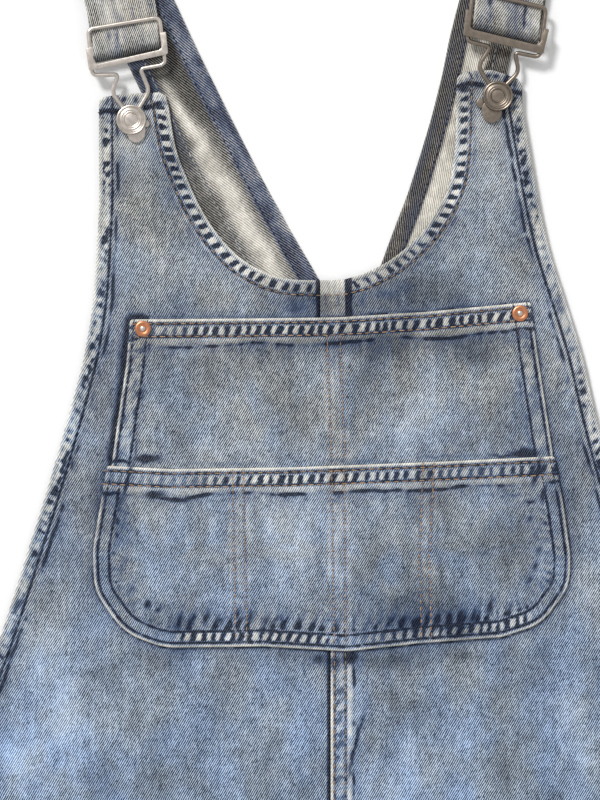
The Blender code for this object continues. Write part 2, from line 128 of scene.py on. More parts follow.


# lighter and darker areas, partly the wash and partly painted shade of folds, under hems and below the
# pocket: centre, reach across and along, strength
washAndShadeAreas = (
    (-86, 319, 19, 19, -0.35), (-20, 258, 22, 10, -0.75), (24, 258, 33, 12, -0.7), (63, 258, 16, 14, -0.5),
    (49, 300, 14, 28, -0.5), (-102, 234, 14, 7, -0.3), (-20, 234, 28, 7, -0.6), (24, 234, 19, 9, -1.0),
    (74, 234, 33, 8, -0.8), (-86, 217, 25, 14, -0.45), (13, 215, 16, 16, -0.4), (-47, 187, 22, 16, 0.15),
    (46, 193, 14, 14, 0.45), (90, 187, 16, 19, -0.5), (-113, 148, 12, 15, -0.5), (-20, 132, 28, 18, 0.35),
    (46, 148, 10, 15, -0.55), (45, 116, 11, 19, -0.5), (44, 85, 14, 12, -1.0), (24, 105, 12, 16, -0.3),
    (24, 82, 12, 9, -0.4), (69, 82, 12, 9, -0.8), (-86, 85, 22, 9, -0.5), (-42, 84, 16, 7, -0.3),
    (35, 63, 47, 5, -0.7), (-75, 63, 41, 5, -0.4), (-152, 28, 19, 33, 0.6), (-174, 0, 14, 16, 0.45),
    (-86, -3, 38, 14, -0.3), (24, 38, 19, 14, -0.35), (90, 38, 10, 14, -0.3), (90, -3, 10, 15, -0.55),
    (68, 19, 10, 14, 0.4), (46, -3, 12, 11, 0.35), (131, 16, 11, 25, 0.35), (-152, 72, 14, 14, 0.25),
    (96, 127, 19, 12, -0.3), (-130, 148, 10, 23, -0.5), (-127, 204, 11, 22, -0.2),
    (123, 148, 11, 28, -0.25), (5, 28, 8, 38, 0.35))
washLook = {"base": -0.12}


def smoothStep(value):
    t = np.clip(value, 0, 1)
    return t * t * (3 - 2 * t)


# 1 between low and high, with soft shoulders
def window(value, low, high, soft):
    return smoothStep((value - low) / soft + 0.5) * smoothStep((high - value) / soft + 0.5)


# smooth noise from -1 to 1, with cells of one size
def noise(x, y, size, seed):
    rng = np.random.default_rng(seed)
    table = rng.random((256, 256)) * 2 - 1
    u, v = x / size + 97.3, y / size + 61.7
    i, j = np.floor(u).astype(int), np.floor(v).astype(int)
    a, b = smoothStep(u - i), smoothStep(v - j)
    i, j = i % 256, j % 256
    i2, j2 = (i + 1) % 256, (j + 1) % 256
    low = table[i, j] * (1 - a) + table[i2, j] * a
    high = table[i, j2] * (1 - a) + table[i2, j2] * a
    return low * (1 - b) + high * b


def halfWidth(y):
    side = armhole[-1]
    above = np.interp(y, armhole[::-1, 0], (armhole[::-1, 2] - armhole[::-1, 1]) / 2)
    t = (side[0] - y) / (side[0] - levels["hemY"])
    return np.where(y >= side[0], above, side[2] + t * (levels["hemHalf"] - side[2]))


# height of the front's underside, as the CAD front has it
def frontLift(x, y):
    inward = smoothStep((1 - np.abs(x) / halfWidth(y)) / 0.22)
    skirt = 1 - smoothStep((y - armhole[-1][0]) / 120)
    lift = levels["body"] - (levels["body"] - levels["edge"]) * (1 - inward) * skirt
    lift = lift + (levels["tab"] - levels["body"]) * smoothStep((y - 300) / 45)
    for topX, topY, lowX, lowY, reach, height in skirtFolds:
        along = (topY - y) / (topY - lowY)
        away = np.abs(x - topX - along * (lowX - topX)) / reach
        lift = lift + height * smoothStep(1 - away) * smoothStep(along * 3) * inward
    return lift


# how much lighter and how much bluer the cloth is at each point; the darker areas hold painted shade as well
# as the wash
def washAndShadeAt(x, y):
    tone = np.full(len(x), washLook["base"])
    for cx, cy, rx, ry, strength in washAndShadeAreas:
        u = (x - cx + 5 * noise(x, y, 16, 91)) / rx
        v = (y - cy + 5 * noise(x, y, 16, 92)) / ry
        tone = tone + strength * np.exp(-(u ** 2 + v ** 2) * 0.9)
    low = 1 - smoothStep((y + 60) / 60)
    tone = tone + low * 0.35 * (noise(x, y * 0.45, 34, 93) + 0.5 * noise(x, y * 0.5, 15, 94))
    cool = np.interp(y, (-20, 70, 165, 250, 330, 380), (1.0, 0.6, 0.1, -0.35, -0.75, -0.9))
    return {"tone": tone, "cool": cool + 0.15 * noise(x, y, 40, 95)}


# outlines

# a table's edge as a smooth curve, from its first row to its last
def smoothEdge(rows, column, steps):
    places = [Vector((row[column], row[0])) for row in rows]
    curve = []
    for i in range(len(places) - 1):
        before, a, b = places[max(i - 1, 0)], places[i], places[i + 1]
        after = places[min(i + 2, len(places) - 1)]
        for step in range(steps):
            t = step / steps
            bend = (b - before) * t + (2 * before - 5 * a + 4 * b - after) * t * t
            bend += (3 * a - before - 3 * b + after) * t * t * t
            curve.append(tuple(a + bend / 2))
    curve.append(tuple(places[-1]))
    return curve


# the outline through corners (x, y, radius) or (x, y, z, radius), closed
def rounded(corners, steps=6):
    outline = []
    for i, (*place, radius) in enumerate(corners):
        here = Vector(place)
        before = Vector(corners[i - 1][:-1])
        after = Vector(corners[(i + 1) % len(corners)][:-1])
        if radius == 0:
            outline.append(tuple(here))
            continue
        back, ahead = (before - here).normalized(), (after - here).normalized()
        reach = radius / math.tan(back.angle(ahead) / 2)
        reach = min(reach, 0.48 * min((before - here).length, (after - here).length))
        start, end = here + back * reach, here + ahead * reach
        for step in range(steps + 1):
            t = step / steps
            outline.append(tuple((1 - t) ** 2 * start + 2 * t * (1 - t) * here + t * t * end))
    return outline


# the same line with points at an even spacing; sharp corners stay
def spaced(line, spacing, closed=False):
    points = [np.array(p, float) for p in line]
    if closed:
        points.append(points[0])
    result = []
    for a, b in zip(points, points[1:]):
        count = max(1, int(round(np.linalg.norm(b - a) / spacing)))
        result += [a + (b - a) * k / count for k in range(count)]
    if not closed:
        result.append(points[-1])
    kept = [result[0]]
    for p in result[1:]:
        if np.linalg.norm(p - kept[-1]) > spacing * 0.45:
            kept.append(p)
    return np.array(kept)


# distance from each point to a line, and how far along the line that is
def lineField(points, line, reach=30):
    line = np.asarray(line, float)
    order = np.argsort(points[:, 1])
    placed = points[order]
    best = np.full(len(points), 1e3)
    along = np.zeros(len(points))
    start = 0.0
    for a, b in zip(line[:-1], line[1:]):
        run = b - a
        length = math.hypot(*run)
        first, last = np.searchsorted(placed[:, 1], (min(a[1], b[1]) - reach, max(a[1], b[1]) + reach))
        part = placed[first:last]
        near = first + np.nonzero(np.abs(part[:, 0] - (a[0] + b[0]) / 2) < reach + abs(run[0]) / 2)[0]
        offset = placed[near] - a
        t = np.clip(offset @ run / max(length ** 2, 1e-9), 0, 1)
        d = np.hypot(offset[:, 0] - t * run[0], offset[:, 1] - t * run[1])
        nearer = d < best[near]
        best[near[nearer]] = d[nearer]
        along[near[nearer]] = start + t[nearer] * length
        start += length
    distance, place = np.empty(len(points)), np.empty(len(points))
    distance[order], place[order] = best, along
    return distance, place


def inside(points, outline):
    order = np.argsort(points[:, 1])
    x, y = points[order].T
    crossed = np.zeros(len(points), bool)
    for (x1, y1), (x2, y2) in zip(outline, np.roll(outline, -1, axis=0)):
        if y1 == y2:
            continue
        first, last = np.searchsorted(y, (min(y1, y2), max(y1, y2)))
        crossed[first:last] ^= x[first:last] < (x2 - x1) * (y[first:last] - y1) / (y2 - y1) + x1
    result = np.empty(len(points), bool)
    result[order] = crossed
    return result


# points set in from a closed outline that runs anticlockwise
def offsetRing(outline, depth):
    before, after = np.roll(outline, 1, axis=0), np.roll(outline, -1, axis=0)
    run = after - before
    normal = np.stack((-run[:, 1], run[:, 0]), 1) / np.linalg.norm(run, axis=1)[:, None]
    return outline + normal * depth


def hexPoints(low, high, spacing):
    rows = np.arange(low[1], high[1], spacing * 0.866)
    points = []
    for k, y in enumerate(rows):
        x = np.arange(low[0] + (k % 2) * spacing / 2, high[0], spacing)
        points.append(np.stack((x, np.full(len(x), y)), 1))
    return np.concatenate(points)


# a wall of cloth inside a closed outline. spacingAt(points, d) is how close its points lie, and
# shape(points, d) gives the upper and lower heights and the attributes
def clothMesh(name, outline, spacingAt, shape, materials, outerUp=True):
    outline = np.asarray(outline, float)
    area = np.sum(outline[:, 0] * np.roll(outline[:, 1], -1) - np.roll(outline[:, 0], -1) * outline[:, 1])
    if area < 0:
        outline = outline[::-1]
    closed = np.concatenate((outline, outline[:1]))
    low, high = outline.min(0), outline.max(0)
    kept = [outline]
    for depth in cloth["rings"]:
        ring = offsetRing(outline, depth)
        d, _ = lineField(ring, closed)
        kept.append(ring[(d > depth * 0.9) & inside(ring, outline)])
    sizes = (cloth["fine"], cloth["fine"] * 1.6, cloth["middle"], cloth["middle"] * 2, cloth["coarse"])
    cell = 2.5
    columns, rows = (int(math.ceil(v / cell)) + 1 for v in high - low)
    gridX, gridY = np.meshgrid(np.arange(columns), np.arange(rows), indexing="ij")
    spots = low + np.column_stack((gridX.ravel(), gridY.ravel())) * cell
    near, _ = lineField(spots, closed)
    wantedAt = spacingAt(spots, near).reshape(columns, rows)
    for k, spacing in enumerate(sizes):
        points = hexPoints(low + 0.31 * spacing, high, spacing)
        index = np.round((points - low) / cell).astype(int)
        wanted = wantedAt[index[:, 0], index[:, 1]]
        bigger = sizes[k + 1] if k + 1 < len(sizes) else 1e9
        points = points[(wanted >= spacing) & (wanted < bigger)]
        if len(points):
            points = points[inside(points, outline)]
            d, _ = lineField(points, closed, 4)
            kept.append(points[d > cloth["ringClear"]])
    points = np.concatenate(kept)
    count = len(outline)
    rimEdges = [(i, (i + 1) % count) for i in range(count)]
    result = delaunay_2d_cdt([Vector(p) for p in points], rimEdges, [], 1, 1e-5)
    points = np.array([tuple(v) for v in result[0]])
    triangles = np.array(result[2])
    a, b, c = points[triangles[:, 0]], points[triangles[:, 1]], points[triangles[:, 2]]
    turn = (b[:, 0] - a[:, 0]) * (c[:, 1] - a[:, 1]) - (b[:, 1] - a[:, 1]) * (c[:, 0] - a[:, 0])
    triangles[turn < 0] = triangles[turn < 0][:, ::-1]
    d, _ = lineField(points, closed)
    upper, lower, looks = shape(points, d)
    n = len(points)
    directed = np.concatenate((triangles[:, :2], triangles[:, 1:], triangles[:, [2, 0]]))
    _, first, times = np.unique(np.sort(directed, axis=1), axis=0, return_index=True, return_counts=True)
    rim = directed[first[times == 1]]
    vertices = np.concatenate((np.column_stack((points, upper)), np.column_stack((points, lower)))) * mm
    walls = np.concatenate((np.column_stack((rim[:, 0], rim[:, 0] + n, rim[:, 1])),
                            np.column_stack((rim[:, 1], rim[:, 0] + n, rim[:, 1] + n))))
    faces = np.concatenate((triangles, triangles[:, ::-1] + n, walls))
    mesh = bpy.data.meshes.new(name)
    mesh.from_pydata(vertices.tolist(), [], faces.tolist())
    for key, values in looks.items():
        addField(mesh, key, np.tile(values, 2))
    mesh.shade_smooth()
    for material in materials:
        mesh.materials.append(material)
    layer = np.zeros(len(faces), np.int32)
    layer[len(triangles):2 * len(triangles)] = 1
    mesh.polygons.foreach_set("material_index", layer if outerUp else 1 - layer)
    flat = np.abs(turn).sum() / 2 * mm * mm
    print(f"  {name}: {len(faces)} triangles, {flat:.4f} m2")
    return newPiece(name, mesh), flat


# how a turned and stitched edge looks

# noise drawn out along the twill lines
def slubs(x, y, across, along, seed):
    u, v = 0.866 * x - 0.5 * y, 0.5 * x + 0.866 * y
    return noise(u, v * across / along, across, seed)


# height, wear and darkness of a turned edge, d in from it and s along it
def hemLook(points, d, s, spec, seed):
    x, y = points.T
    none = d * 0
    pitch = spec["pitch"]
    wobble = noise(s, none, 17, seed) * 1.7 + noise(s, none, 5.5, seed + 1) * 0.9
    wave = np.sin(2 * np.pi * (s + d * spec.get("slant", 0.3) + wobble) / pitch)
    mixed = spec["regular"] * wave + 0.75 * slubs(x, y, 1.9, 6, seed + 6) + 0.35 * noise(x, y, 1.5, seed + 7)
    strength = np.clip(0.88 + 0.5 * noise(s, none, 34, seed + 2), 0.5, 1.15)
    if "where" in spec:
        strength = strength * spec["where"](x, y)
    width = spec["width"] + spec["wander"] * noise(s, none, 26, seed + 3) + 0.5 * noise(s, none, 7, seed + 8)
    if "sag" in spec:
        middle, reach, extra = spec["sag"]
        width = width + extra * np.exp(-((x - middle) / reach) ** 2)
    # the hem stands up as far as its width, and its twist shows as blocks in the middle
    ridge = 1 - smoothStep((d - width + 1.2) / 1.2)
    blocks = window(d, spec["blocks"][0], spec["blocks"][1], 0.9)
    height = cloth["hemExtra"] * ridge + spec["rope"] * (wave + noise(x, y, 2.5, seed + 9)) * blocks
    # past the hem the single cloth is gathered up and dies away
    beyond = smoothStep((d - width + 0.8) / 1.6) * np.exp(-np.maximum(d - width, 0) / spec["reach"])
    gathers = np.sin(2 * np.pi * (s + d * 0.35 + wobble * 1.6 + 1.3) / spec["gather"]) * 0.8
    gathers = gathers + 0.8 * noise(s, d * 0.3, 3.1, seed + 10) + 0.5 * slubs(x, y, 1.8, 5, seed + 14)
    height = height + spec["pucker"] * gathers * beyond
    edgeTo = spec.get("edgeWide", 0.6)
    edge = 1 - smoothStep((d - edgeTo) / 1.2)
    worn = spec["edgeWorn"] * edge * (0.85 + 0.3 * noise(s, none, 6, seed + 4))
    worn = worn + spec["contrast"] * strength * blocks * smoothStep(mixed * 1.6 + 0.15) * 0.75
    dark = spec["contrast"] * strength * blocks * smoothStep(-mixed * 2.4 + 0.05) * spec.get("blockDark", 1)
    # each row of stitches pulls a channel into the hem, and the channel is painted dark as shade
    beat = 0.95 + 0.5 * noise(s, none, 2.2, seed + 11)
    for row in spec["rows"]:
        channel = np.exp(-((d - row) / 0.72) ** 2)
        height = height - 0.32 * channel
        worn = worn * (1 - 0.85 * channel)
        dark = dark * (1 - 0.5 * channel) + spec["rowShade"] * channel * beat
    last = spec["rows"][-1] if spec["rows"] else spec["width"] - 2
    lip = smoothStep((d - last - 0.5) / 0.7) * (1 - smoothStep((d - width + 0.4) / 0.9))
    worn = worn + spec["ridgeWorn"] * lip * (0.7 + 0.6 * noise(s, none, 5, seed + 12))
    # a painted shadow lies along the hem's end, and painted shade spreads past it
    ending = 0.55 + 0.8 * noise(s, none, 15, seed + 5) + 0.5 * noise(s, none, 3.5, seed + 13)
    dark = dark + spec["endShadow"] * np.exp(-((d - width - 0.7) / 0.9) ** 2) * np.clip(ending, 0.1, 1.2)
    dark = dark + spec["shadeHalo"] * beyond * np.clip(ending + 0.3 * noise(x, y, 4, seed + 15), 0.05, 1)
    # the gathers' valleys are darkened as unfaded dye and painted shade, and their crests are worn lighter
    pucker = spec["puckerDark"] * beyond
    if "where" in spec:
        pucker = pucker * (0.3 + 0.7 * spec["where"](x, y))
    dark = dark + pucker * smoothStep(-gathers * 1.2 + 0.1)
    worn = worn + 0.35 * pucker * smoothStep(gathers * 1.2)
    within = d < width + 4 * spec["reach"] + 6
    return height * within, worn * within, np.clip(dark, 0, 1.3) * within


# the pocket mouths are crumpled mostly on their right, and the lower border along its bottom
def mostlyRight(x, y):
    return 0.35 + 0.65 * smoothStep((x + 88) / 26)


def alongBottom(x, y):
    middle = 1 - 0.55 * np.exp(-((x - 10) / 16) ** 2)
    share = 0.88 * smoothStep((90 - y) / 8) * smoothStep((x + 92) / 14)
    return 0.12 + share * smoothStep((112 - x) / 12) * middle


# a turned edge: its width and stitch rows, the blocks where its twist shows, how high it is raised,
# how worn or dark its parts are, and the painted shade in its stitch channels, below its end and in its
# gathers
neckHem = {"width": 10.3, "pitch": 5.9, "blocks": (2.4, 6.7), "rows": (8.3,), "rope": 0.16, "pucker": 0.1,
           "reach": 4, "edgeWorn": 1.0, "contrast": 1.25, "ridgeWorn": 0.2, "endShadow": 0.2,
           "puckerDark": 0.2, "regular": 1.25, "wander": 0.8, "rowShade": 1.2, "shadeHalo": 0.2, "gather": 6.2}
armHem = dict(neckHem, width=9.4, blocks=(2.2, 6.0), rows=(7.3,), edgeWorn=0.85, contrast=0.95,
              regular=0.3, rowShade=1.35, endShadow=0.75, ridgeWorn=0.2, shadeHalo=0.5, blockDark=1.1)
tabHem = dict(neckHem, width=9.0, blocks=(3.2, 6.0), rows=(), contrast=0.5, regular=0.3, edgeWorn=0.8,
              endShadow=0.1, shadeHalo=0.0, rope=0.05)
skirtHem = dict(neckHem, width=22, pitch=7.5, blocks=(3, 18), rows=(19.6,), contrast=0.7, reach=5,
                endShadow=0.45)
sideSeam = dict(neckHem, width=3, blocks=(0.5, 2.5), rows=(), contrast=0.3, endShadow=0.1, regular=0.2)
fellSeam = dict(neckHem, width=12.3, blocks=(3.2, 7.6), rows=(2.4, 8.4), contrast=0.5, edgeWorn=1.35,
                edgeWide=1.6, regular=0.3, rowShade=0.95, ridgeWorn=0.8, endShadow=1.1, shadeHalo=0.3, wander=0.3,
                reach=2.5)
mouthHem = {"width": 13.6, "pitch": 5.8, "blocks": (4.3, 8.7), "rows": (2.7, 9.7), "rope": 0.14,
            "pucker": 0.12, "reach": 5, "edgeWorn": 1.45, "contrast": 1.5, "ridgeWorn": 0.5,
            "endShadow": 0.85, "puckerDark": 0.25, "regular": 1.2, "wander": 1.6, "rowShade": 1.25,
            "shadeHalo": 0.5, "gather": 7.0, "where": mostlyRight}
lowerMouthHem = dict(mouthHem, sag=(-88, 17, 2.8), contrast=1.1)
sideHem = {"width": 11.2, "pitch": 5.2, "blocks": (2.8, 9.2), "rows": (2.2, 9.6), "rope": 0.1,
           "pucker": 0.08, "reach": 3, "edgeWorn": 1.1, "contrast": 0.6, "ridgeWorn": 0.0,
           "endShadow": 0.35, "puckerDark": 0.15, "regular": 0.1, "wander": 0.4, "rowShade": 1.1,
           "shadeHalo": 0.3, "gather": 6.0}
borderHem = {"width": 10.0, "pitch": 5.3, "blocks": (3.6, 7.9), "rows": (2.5, 8.7), "rope": 0.12,
             "pucker": 0.26, "reach": 8.5, "edgeWorn": 1.05, "contrast": 1.3, "ridgeWorn": 0.25,
             "endShadow": 0.3, "puckerDark": 1.25, "regular": 1.1, "wander": 0.4, "rowShade": 1.25,
             "shadeHalo": 0.18, "gather": 6.6, "where": alongBottom}


# soft dark marks and painted shadows, each (x, y, reach across, reach along, strength)
def marksAndShadowsAt(x, y, marks):
    dark = np.zeros(len(x))
    for cx, cy, rx, ry, strength in marks:
        u, v = x - cx + 0.7 * noise(x, y, 3, 96), y - cy + 0.9 * noise(x, y, 4, 97)
        dark = np.maximum(dark, strength * np.exp(-(((u - 0.25 * v) / rx) ** 2) - (v / ry) ** 2))
    return dark


# a weight for an edge that shows only below a level
def below(level, soft=2.5):
    return lambda points: 1 - smoothStep((points[:, 1] - level) / soft)


# adds up the looks of several edges. Each is (line, spec, seed, weight)
def combine(parts, points):
    height = np.zeros(len(points))
    worn, dark = np.zeros(len(points)), np.zeros(len(points))
    for line, spec, seed, weight in parts:
        d, s = lineField(points, line)
        h, w, k = hemLook(points, d, s, spec, seed)
        factor = weight(points) if callable(weight) else weight
        height = np.where(np.abs(h * factor) > np.abs(height), h * factor, height)
        worn = np.maximum(worn, w * factor)
        dark = np.maximum(dark, k * factor)
    return height, worn, dark


# how far the surface drops at a cut or folded edge
def edgeRound(d):
    radius = cloth["edgeRound"]
    t = np.clip(1 - d / radius, 0, 1)
    return radius * (1 - np.sqrt(np.clip(1 - t * t, 0, 1)))


def hemCurve(fromX, toX, spacing):
    x = np.linspace(fromX, toX, max(2, int(abs(toX - fromX) / spacing)))
    return np.column_stack((x, levels["hemY"] + levels["hemRise"] * (x / levels["hemHalf"]) ** 2))


# denim

# a new material, with short ways to add and join its nodes
class Graph:
    def __init__(self, name):
        self.material = bpy.data.materials.new(name)
        self.material.use_nodes = True
        self.nodes = self.material.node_tree.nodes
        self.links = self.material.node_tree.links
        self.shader = self.nodes["Principled BSDF"]

    def feed(self, node, values):
        for key, value in values.items():
            socket = node.inputs[key]
            if isinstance(value, bpy.types.NodeSocket):
                self.links.new(value, socket)
            else:
                socket.default_value = value

    def maths(self, operation, a, b=0.5, c=None, clamp=False):
        node = self.nodes.new("ShaderNodeMath")
        node.operation = operation
        node.use_clamp = clamp
        self.feed(node, {0: a, 1: b} if c is None else {0: a, 1: b, 2: c})
        return node.outputs[0]

    def noise(self, vector, scale, detail=2, roughness=0.5):
        node = self.nodes.new("ShaderNodeTexNoise")
        self.feed(node, {"Vector": vector, "Scale": scale, "Detail": detail, "Roughness": roughness})
        return node.outputs[0]

    def mapping(self, vector, rotation=(0, 0, 0), scale=(1, 1, 1)):
        node = self.nodes.new("ShaderNodeMapping")
        self.feed(node, {"Vector": vector, "Rotation": rotation, "Scale": scale})
        return node.outputs[0]

    def blend(self, factor, a, b):
        node = self.nodes.new("ShaderNodeMix")
        node.data_type = "RGBA"
        self.feed(node, {0: factor, 6: a, 7: b})
        return node.outputs[2]

    def multiply(self, a, b):
        node = self.nodes.new("ShaderNodeMix")
        node.data_type = "RGBA"
        node.blend_type = "MULTIPLY"
        self.feed(node, {0: 1.0, 6: a, 7: b})
        return node.outputs[2]

    def grey(self, value):
        node = self.nodes.new("ShaderNodeCombineColor")
        self.feed(node, {0: value, 1: value, 2: value})
        return node.outputs[0]

    def spread(self, value, low, high, toLow=0.0, toHigh=1.0):
        node = self.nodes.new("ShaderNodeMapRange")
        node.interpolation_type = "SMOOTHSTEP"
        self.feed(node, {0: value, 1: low, 2: high, 3: toLow, 4: toHigh})
        return node.outputs[0]

    def attribute(self, name):
        node = self.nodes.new("ShaderNodeAttribute")
        node.attribute_name = name
        return node.outputs["Fac"]

    def bump(self, height, strength, distance):
        node = self.nodes.new("ShaderNodeBump")
        self.feed(node, {"Height": height, "Strength": strength, "Distance": distance})
        self.links.new(node.outputs[0], self.shader.inputs["Normal"])


denimLook = {
    "twillPitch": 1.1 * mm, "twillAngle": 30, "shade": (0.017, 0.026, 0.047), "yarn": (0.62, 0.66, 0.71),
    "palest": (0.87, 0.85, 0.79), "wornShade": (0.27, 0.255, 0.22), "blue": (0.82, 0.93, 1.08),
    "grey": (0.98, 0.97, 0.92), "indigo": (0.024, 0.050, 0.125), "navy": (0.003, 0.005, 0.014),
    "cool": (0.87, 0.98, 1.14), "warm": (1.06, 1.0, 0.91), "drift": 4.2, "driftSize": 9 * mm, "line": 0.44,
    "grain": 1.6, "grainSize": (0.62 * mm, 1.5 * mm), "lower": 0.28, "upper": 0.80,
    "streaks": 0.9, "streakSize": (1.3 * mm, 24 * mm), "patches": 1.9, "patchSize": (24 * mm, 44 * mm),
    "mottle": 1.4, "mottleSize": 6.5 * mm, "hueSize": (24 * mm, 38 * mm), "fleck": 0.45, "roughness": 0.92}
insideLook = dict(denimLook, twillAngle=125, shade=(0.10, 0.095, 0.085), yarn=(0.66, 0.63, 0.57))


def denimMaterial(name, look, uvMap=None):
    g = Graph(name)
    if uvMap:
        source = g.nodes.new("ShaderNodeUVMap")
        source.uv_map = uvMap
        place = source.outputs[0]
    else:
        place = g.nodes.new("ShaderNodeTexCoord").outputs["Object"]
    turned = g.mapping(place, rotation=(0, 0, math.radians(look["twillAngle"])))
    split = g.nodes.new("ShaderNodeSeparateXYZ")
    g.feed(split, {0: turned})
    # twill lines, bent by drift and broken up by grain
    drift = g.noise(place, 1 / look["driftSize"], 3)
    phase = g.maths("MULTIPLY", split.outputs[0], 2 * math.pi / look["twillPitch"])
    phase = g.maths("MULTIPLY_ADD", drift, look["drift"], phase)
    line = g.maths("SINE", phase)
    wide, long = look["grainSize"]
    grain = g.noise(g.mapping(turned, scale=(1 / wide, 1 / long, 1 / long)), 1.0, 2, 0.6)
    level = g.maths("MULTIPLY_ADD", grain, look["grain"], -0.2 * look["grain"])
    line = g.maths("MULTIPLY_ADD", line, look["line"], level)
    yarn = g.spread(line, look["lower"], look["upper"])
    # how worn the cloth is, from broad patches down to yarns
    wide, long = look["streakSize"]
    streaks = g.noise(g.mapping(place, scale=(1 / wide, 1 / long, 1 / mm)), 1.0, 2, 0.55)
    wide, long = look["patchSize"]
    patches = g.noise(g.mapping(place, scale=(1 / wide, 1 / long, 1 / wide)), 1.0, 3, 0.55)
    mottle = g.noise(place, 1 / look["mottleSize"], 3, 0.6)
    wide, long = look["hueSize"]
    hueScale = (1 / wide, 1 / long, 1 / mm)
    hue = g.noise(g.mapping(place, rotation=(0, 0, 0.4), scale=hueScale), 1.0, 3, 0.55)
    worn, dark, cool = g.attribute("worn"), g.attribute("dark"), g.attribute("cool")
    # noise is about 0.5 in the middle, so half of each share is taken off again
    middle = -(look["patches"] + look["mottle"]) / 2
    tone = g.maths("MULTIPLY_ADD", mottle, look["mottle"], middle)
    tone = g.maths("MULTIPLY_ADD", patches, look["patches"], tone)
    tone = g.maths("ADD", tone, g.maths("MULTIPLY_ADD", streaks, look["streaks"], -look["streaks"] / 2))
    tone = g.maths("ADD", tone, g.attribute("tone"))
    light = g.maths("MULTIPLY_ADD", tone, 0.20, yarn)
    light = g.maths("MULTIPLY_ADD", worn, 0.28, light, clamp=True)
    # colours: worn cloth is warm and pale, and the rest leans to blue or grey
    wear = g.maths("MULTIPLY", worn, 0.95, clamp=True)
    low = g.blend(wear, (*look["shade"], 1), (*look["wornShade"], 1))
    high = g.blend(wear, (*look["yarn"], 1), (*look["palest"], 1))
    colour = g.blend(light, low, high)
    tint = g.blend(g.spread(hue, 0.3, 0.7), (*look["blue"], 1), (*look["grey"], 1))
    tint = g.multiply(tint, g.blend(g.maths("MAXIMUM", cool, 0.0), (1, 1, 1, 1), (*look["cool"], 1)))
    warmth = g.maths("MAXIMUM", g.maths("MULTIPLY", cool, -1.0), 0.0)
    tint = g.multiply(tint, g.blend(warmth, (1, 1, 1, 1), (*look["warm"], 1)))
    tint = g.blend(wear, tint, (1, 1, 1, 1))
    colour = g.multiply(colour, tint)
    gain = g.maths("MULTIPLY_ADD", tone, 0.5, 1.0)
    colour = g.multiply(colour, g.grey(g.maths("MAXIMUM", gain, 0.45)))
    # the dark field turns the cloth indigo, and its deepest nearly black: unworn cloth by the stitches keeps
    # its first dye, and painted shade and shadow ride in the same field
    dyeAndShade = g.maths("MULTIPLY", dark, 1.6, clamp=True)
    dyeAndShade = g.maths("MULTIPLY", dyeAndShade, g.maths("MULTIPLY_ADD", yarn, -look["fleck"], 1.0), clamp=True)
    colour = g.blend(dyeAndShade, colour, (*look["indigo"], 1))
    deepest = g.spread(dark, 0.36, 0.88)
    cover = g.maths("MULTIPLY_ADD", yarn, -look["fleck"] * 0.7, 1.0)
    deep = g.maths("MULTIPLY", deepest, cover, clamp=True)
    colour = g.blend(deep, colour, (*look["navy"], 1))
    g.feed(g.shader, {"Base Color": colour, "Roughness": look["roughness"], "Specular IOR Level": 0.1})
    g.bump(g.maths("MULTIPLY_ADD", yarn, 0.8, g.maths("MULTIPLY", mottle, 0.6)), 0.35, 0.25 * mm)
    return g.material


denim = denimMaterial("washedDenim", denimLook)
denimInside = denimMaterial("denimReverse", insideLook)
threadLook = {"brown": (0.30, 0.20, 0.12), "orange": (0.36, 0.225, 0.13), "dark": (0.02, 0.022, 0.035),
              "pale": (0.42, 0.40, 0.35)}


def threadMaterial():
    g = Graph("topstitchThread")
    colour = g.nodes.new("ShaderNodeAttribute")
    colour.attribute_name = "thread"
    place = g.nodes.new("ShaderNodeTexCoord").outputs["Object"]
    fibre = g.noise(place, 1 / (0.5 * mm), 2)
    shade = g.nodes.new("ShaderNodeHueSaturation")
    g.feed(shade, {"Color": colour.outputs["Color"], "Value": g.maths("MULTIPLY_ADD", fibre, 0.9, 0.55)})
    g.feed(g.shader, {"Base Color": shade.outputs[0], "Roughness": 0.7, "Specular IOR Level": 0.25})
    g.bump(fibre, 0.4, 0.1 * mm)
    return g.material


thread = threadMaterial()
print("materials ready")

# stitches
stitchSize = {"pitch": 4.7, "length": 3.4, "half": 0.30, "rise": 0.16, "dip": 0.34, "sides": 6}


# a line moved to its left by a distance
def offsetLine(line, depth):
    line = np.asarray(line, float)
    run = np.gradient(line, axis=0)
    normal = np.stack((-run[:, 1], run[:, 0]), 1) / np.linalg.norm(run, axis=1)[:, None]
    return line + normal * depth


def resampleLine(line, spacing):
    line = np.asarray(line, float)
    length = np.concatenate(([0], np.cumsum(np.linalg.norm(np.diff(line, axis=0), axis=1))))
    s = np.arange(0, length[-1], spacing)
    return np.column_stack((np.interp(s, length, line[:, 0]), np.interp(s, length, line[:, 1]))), s


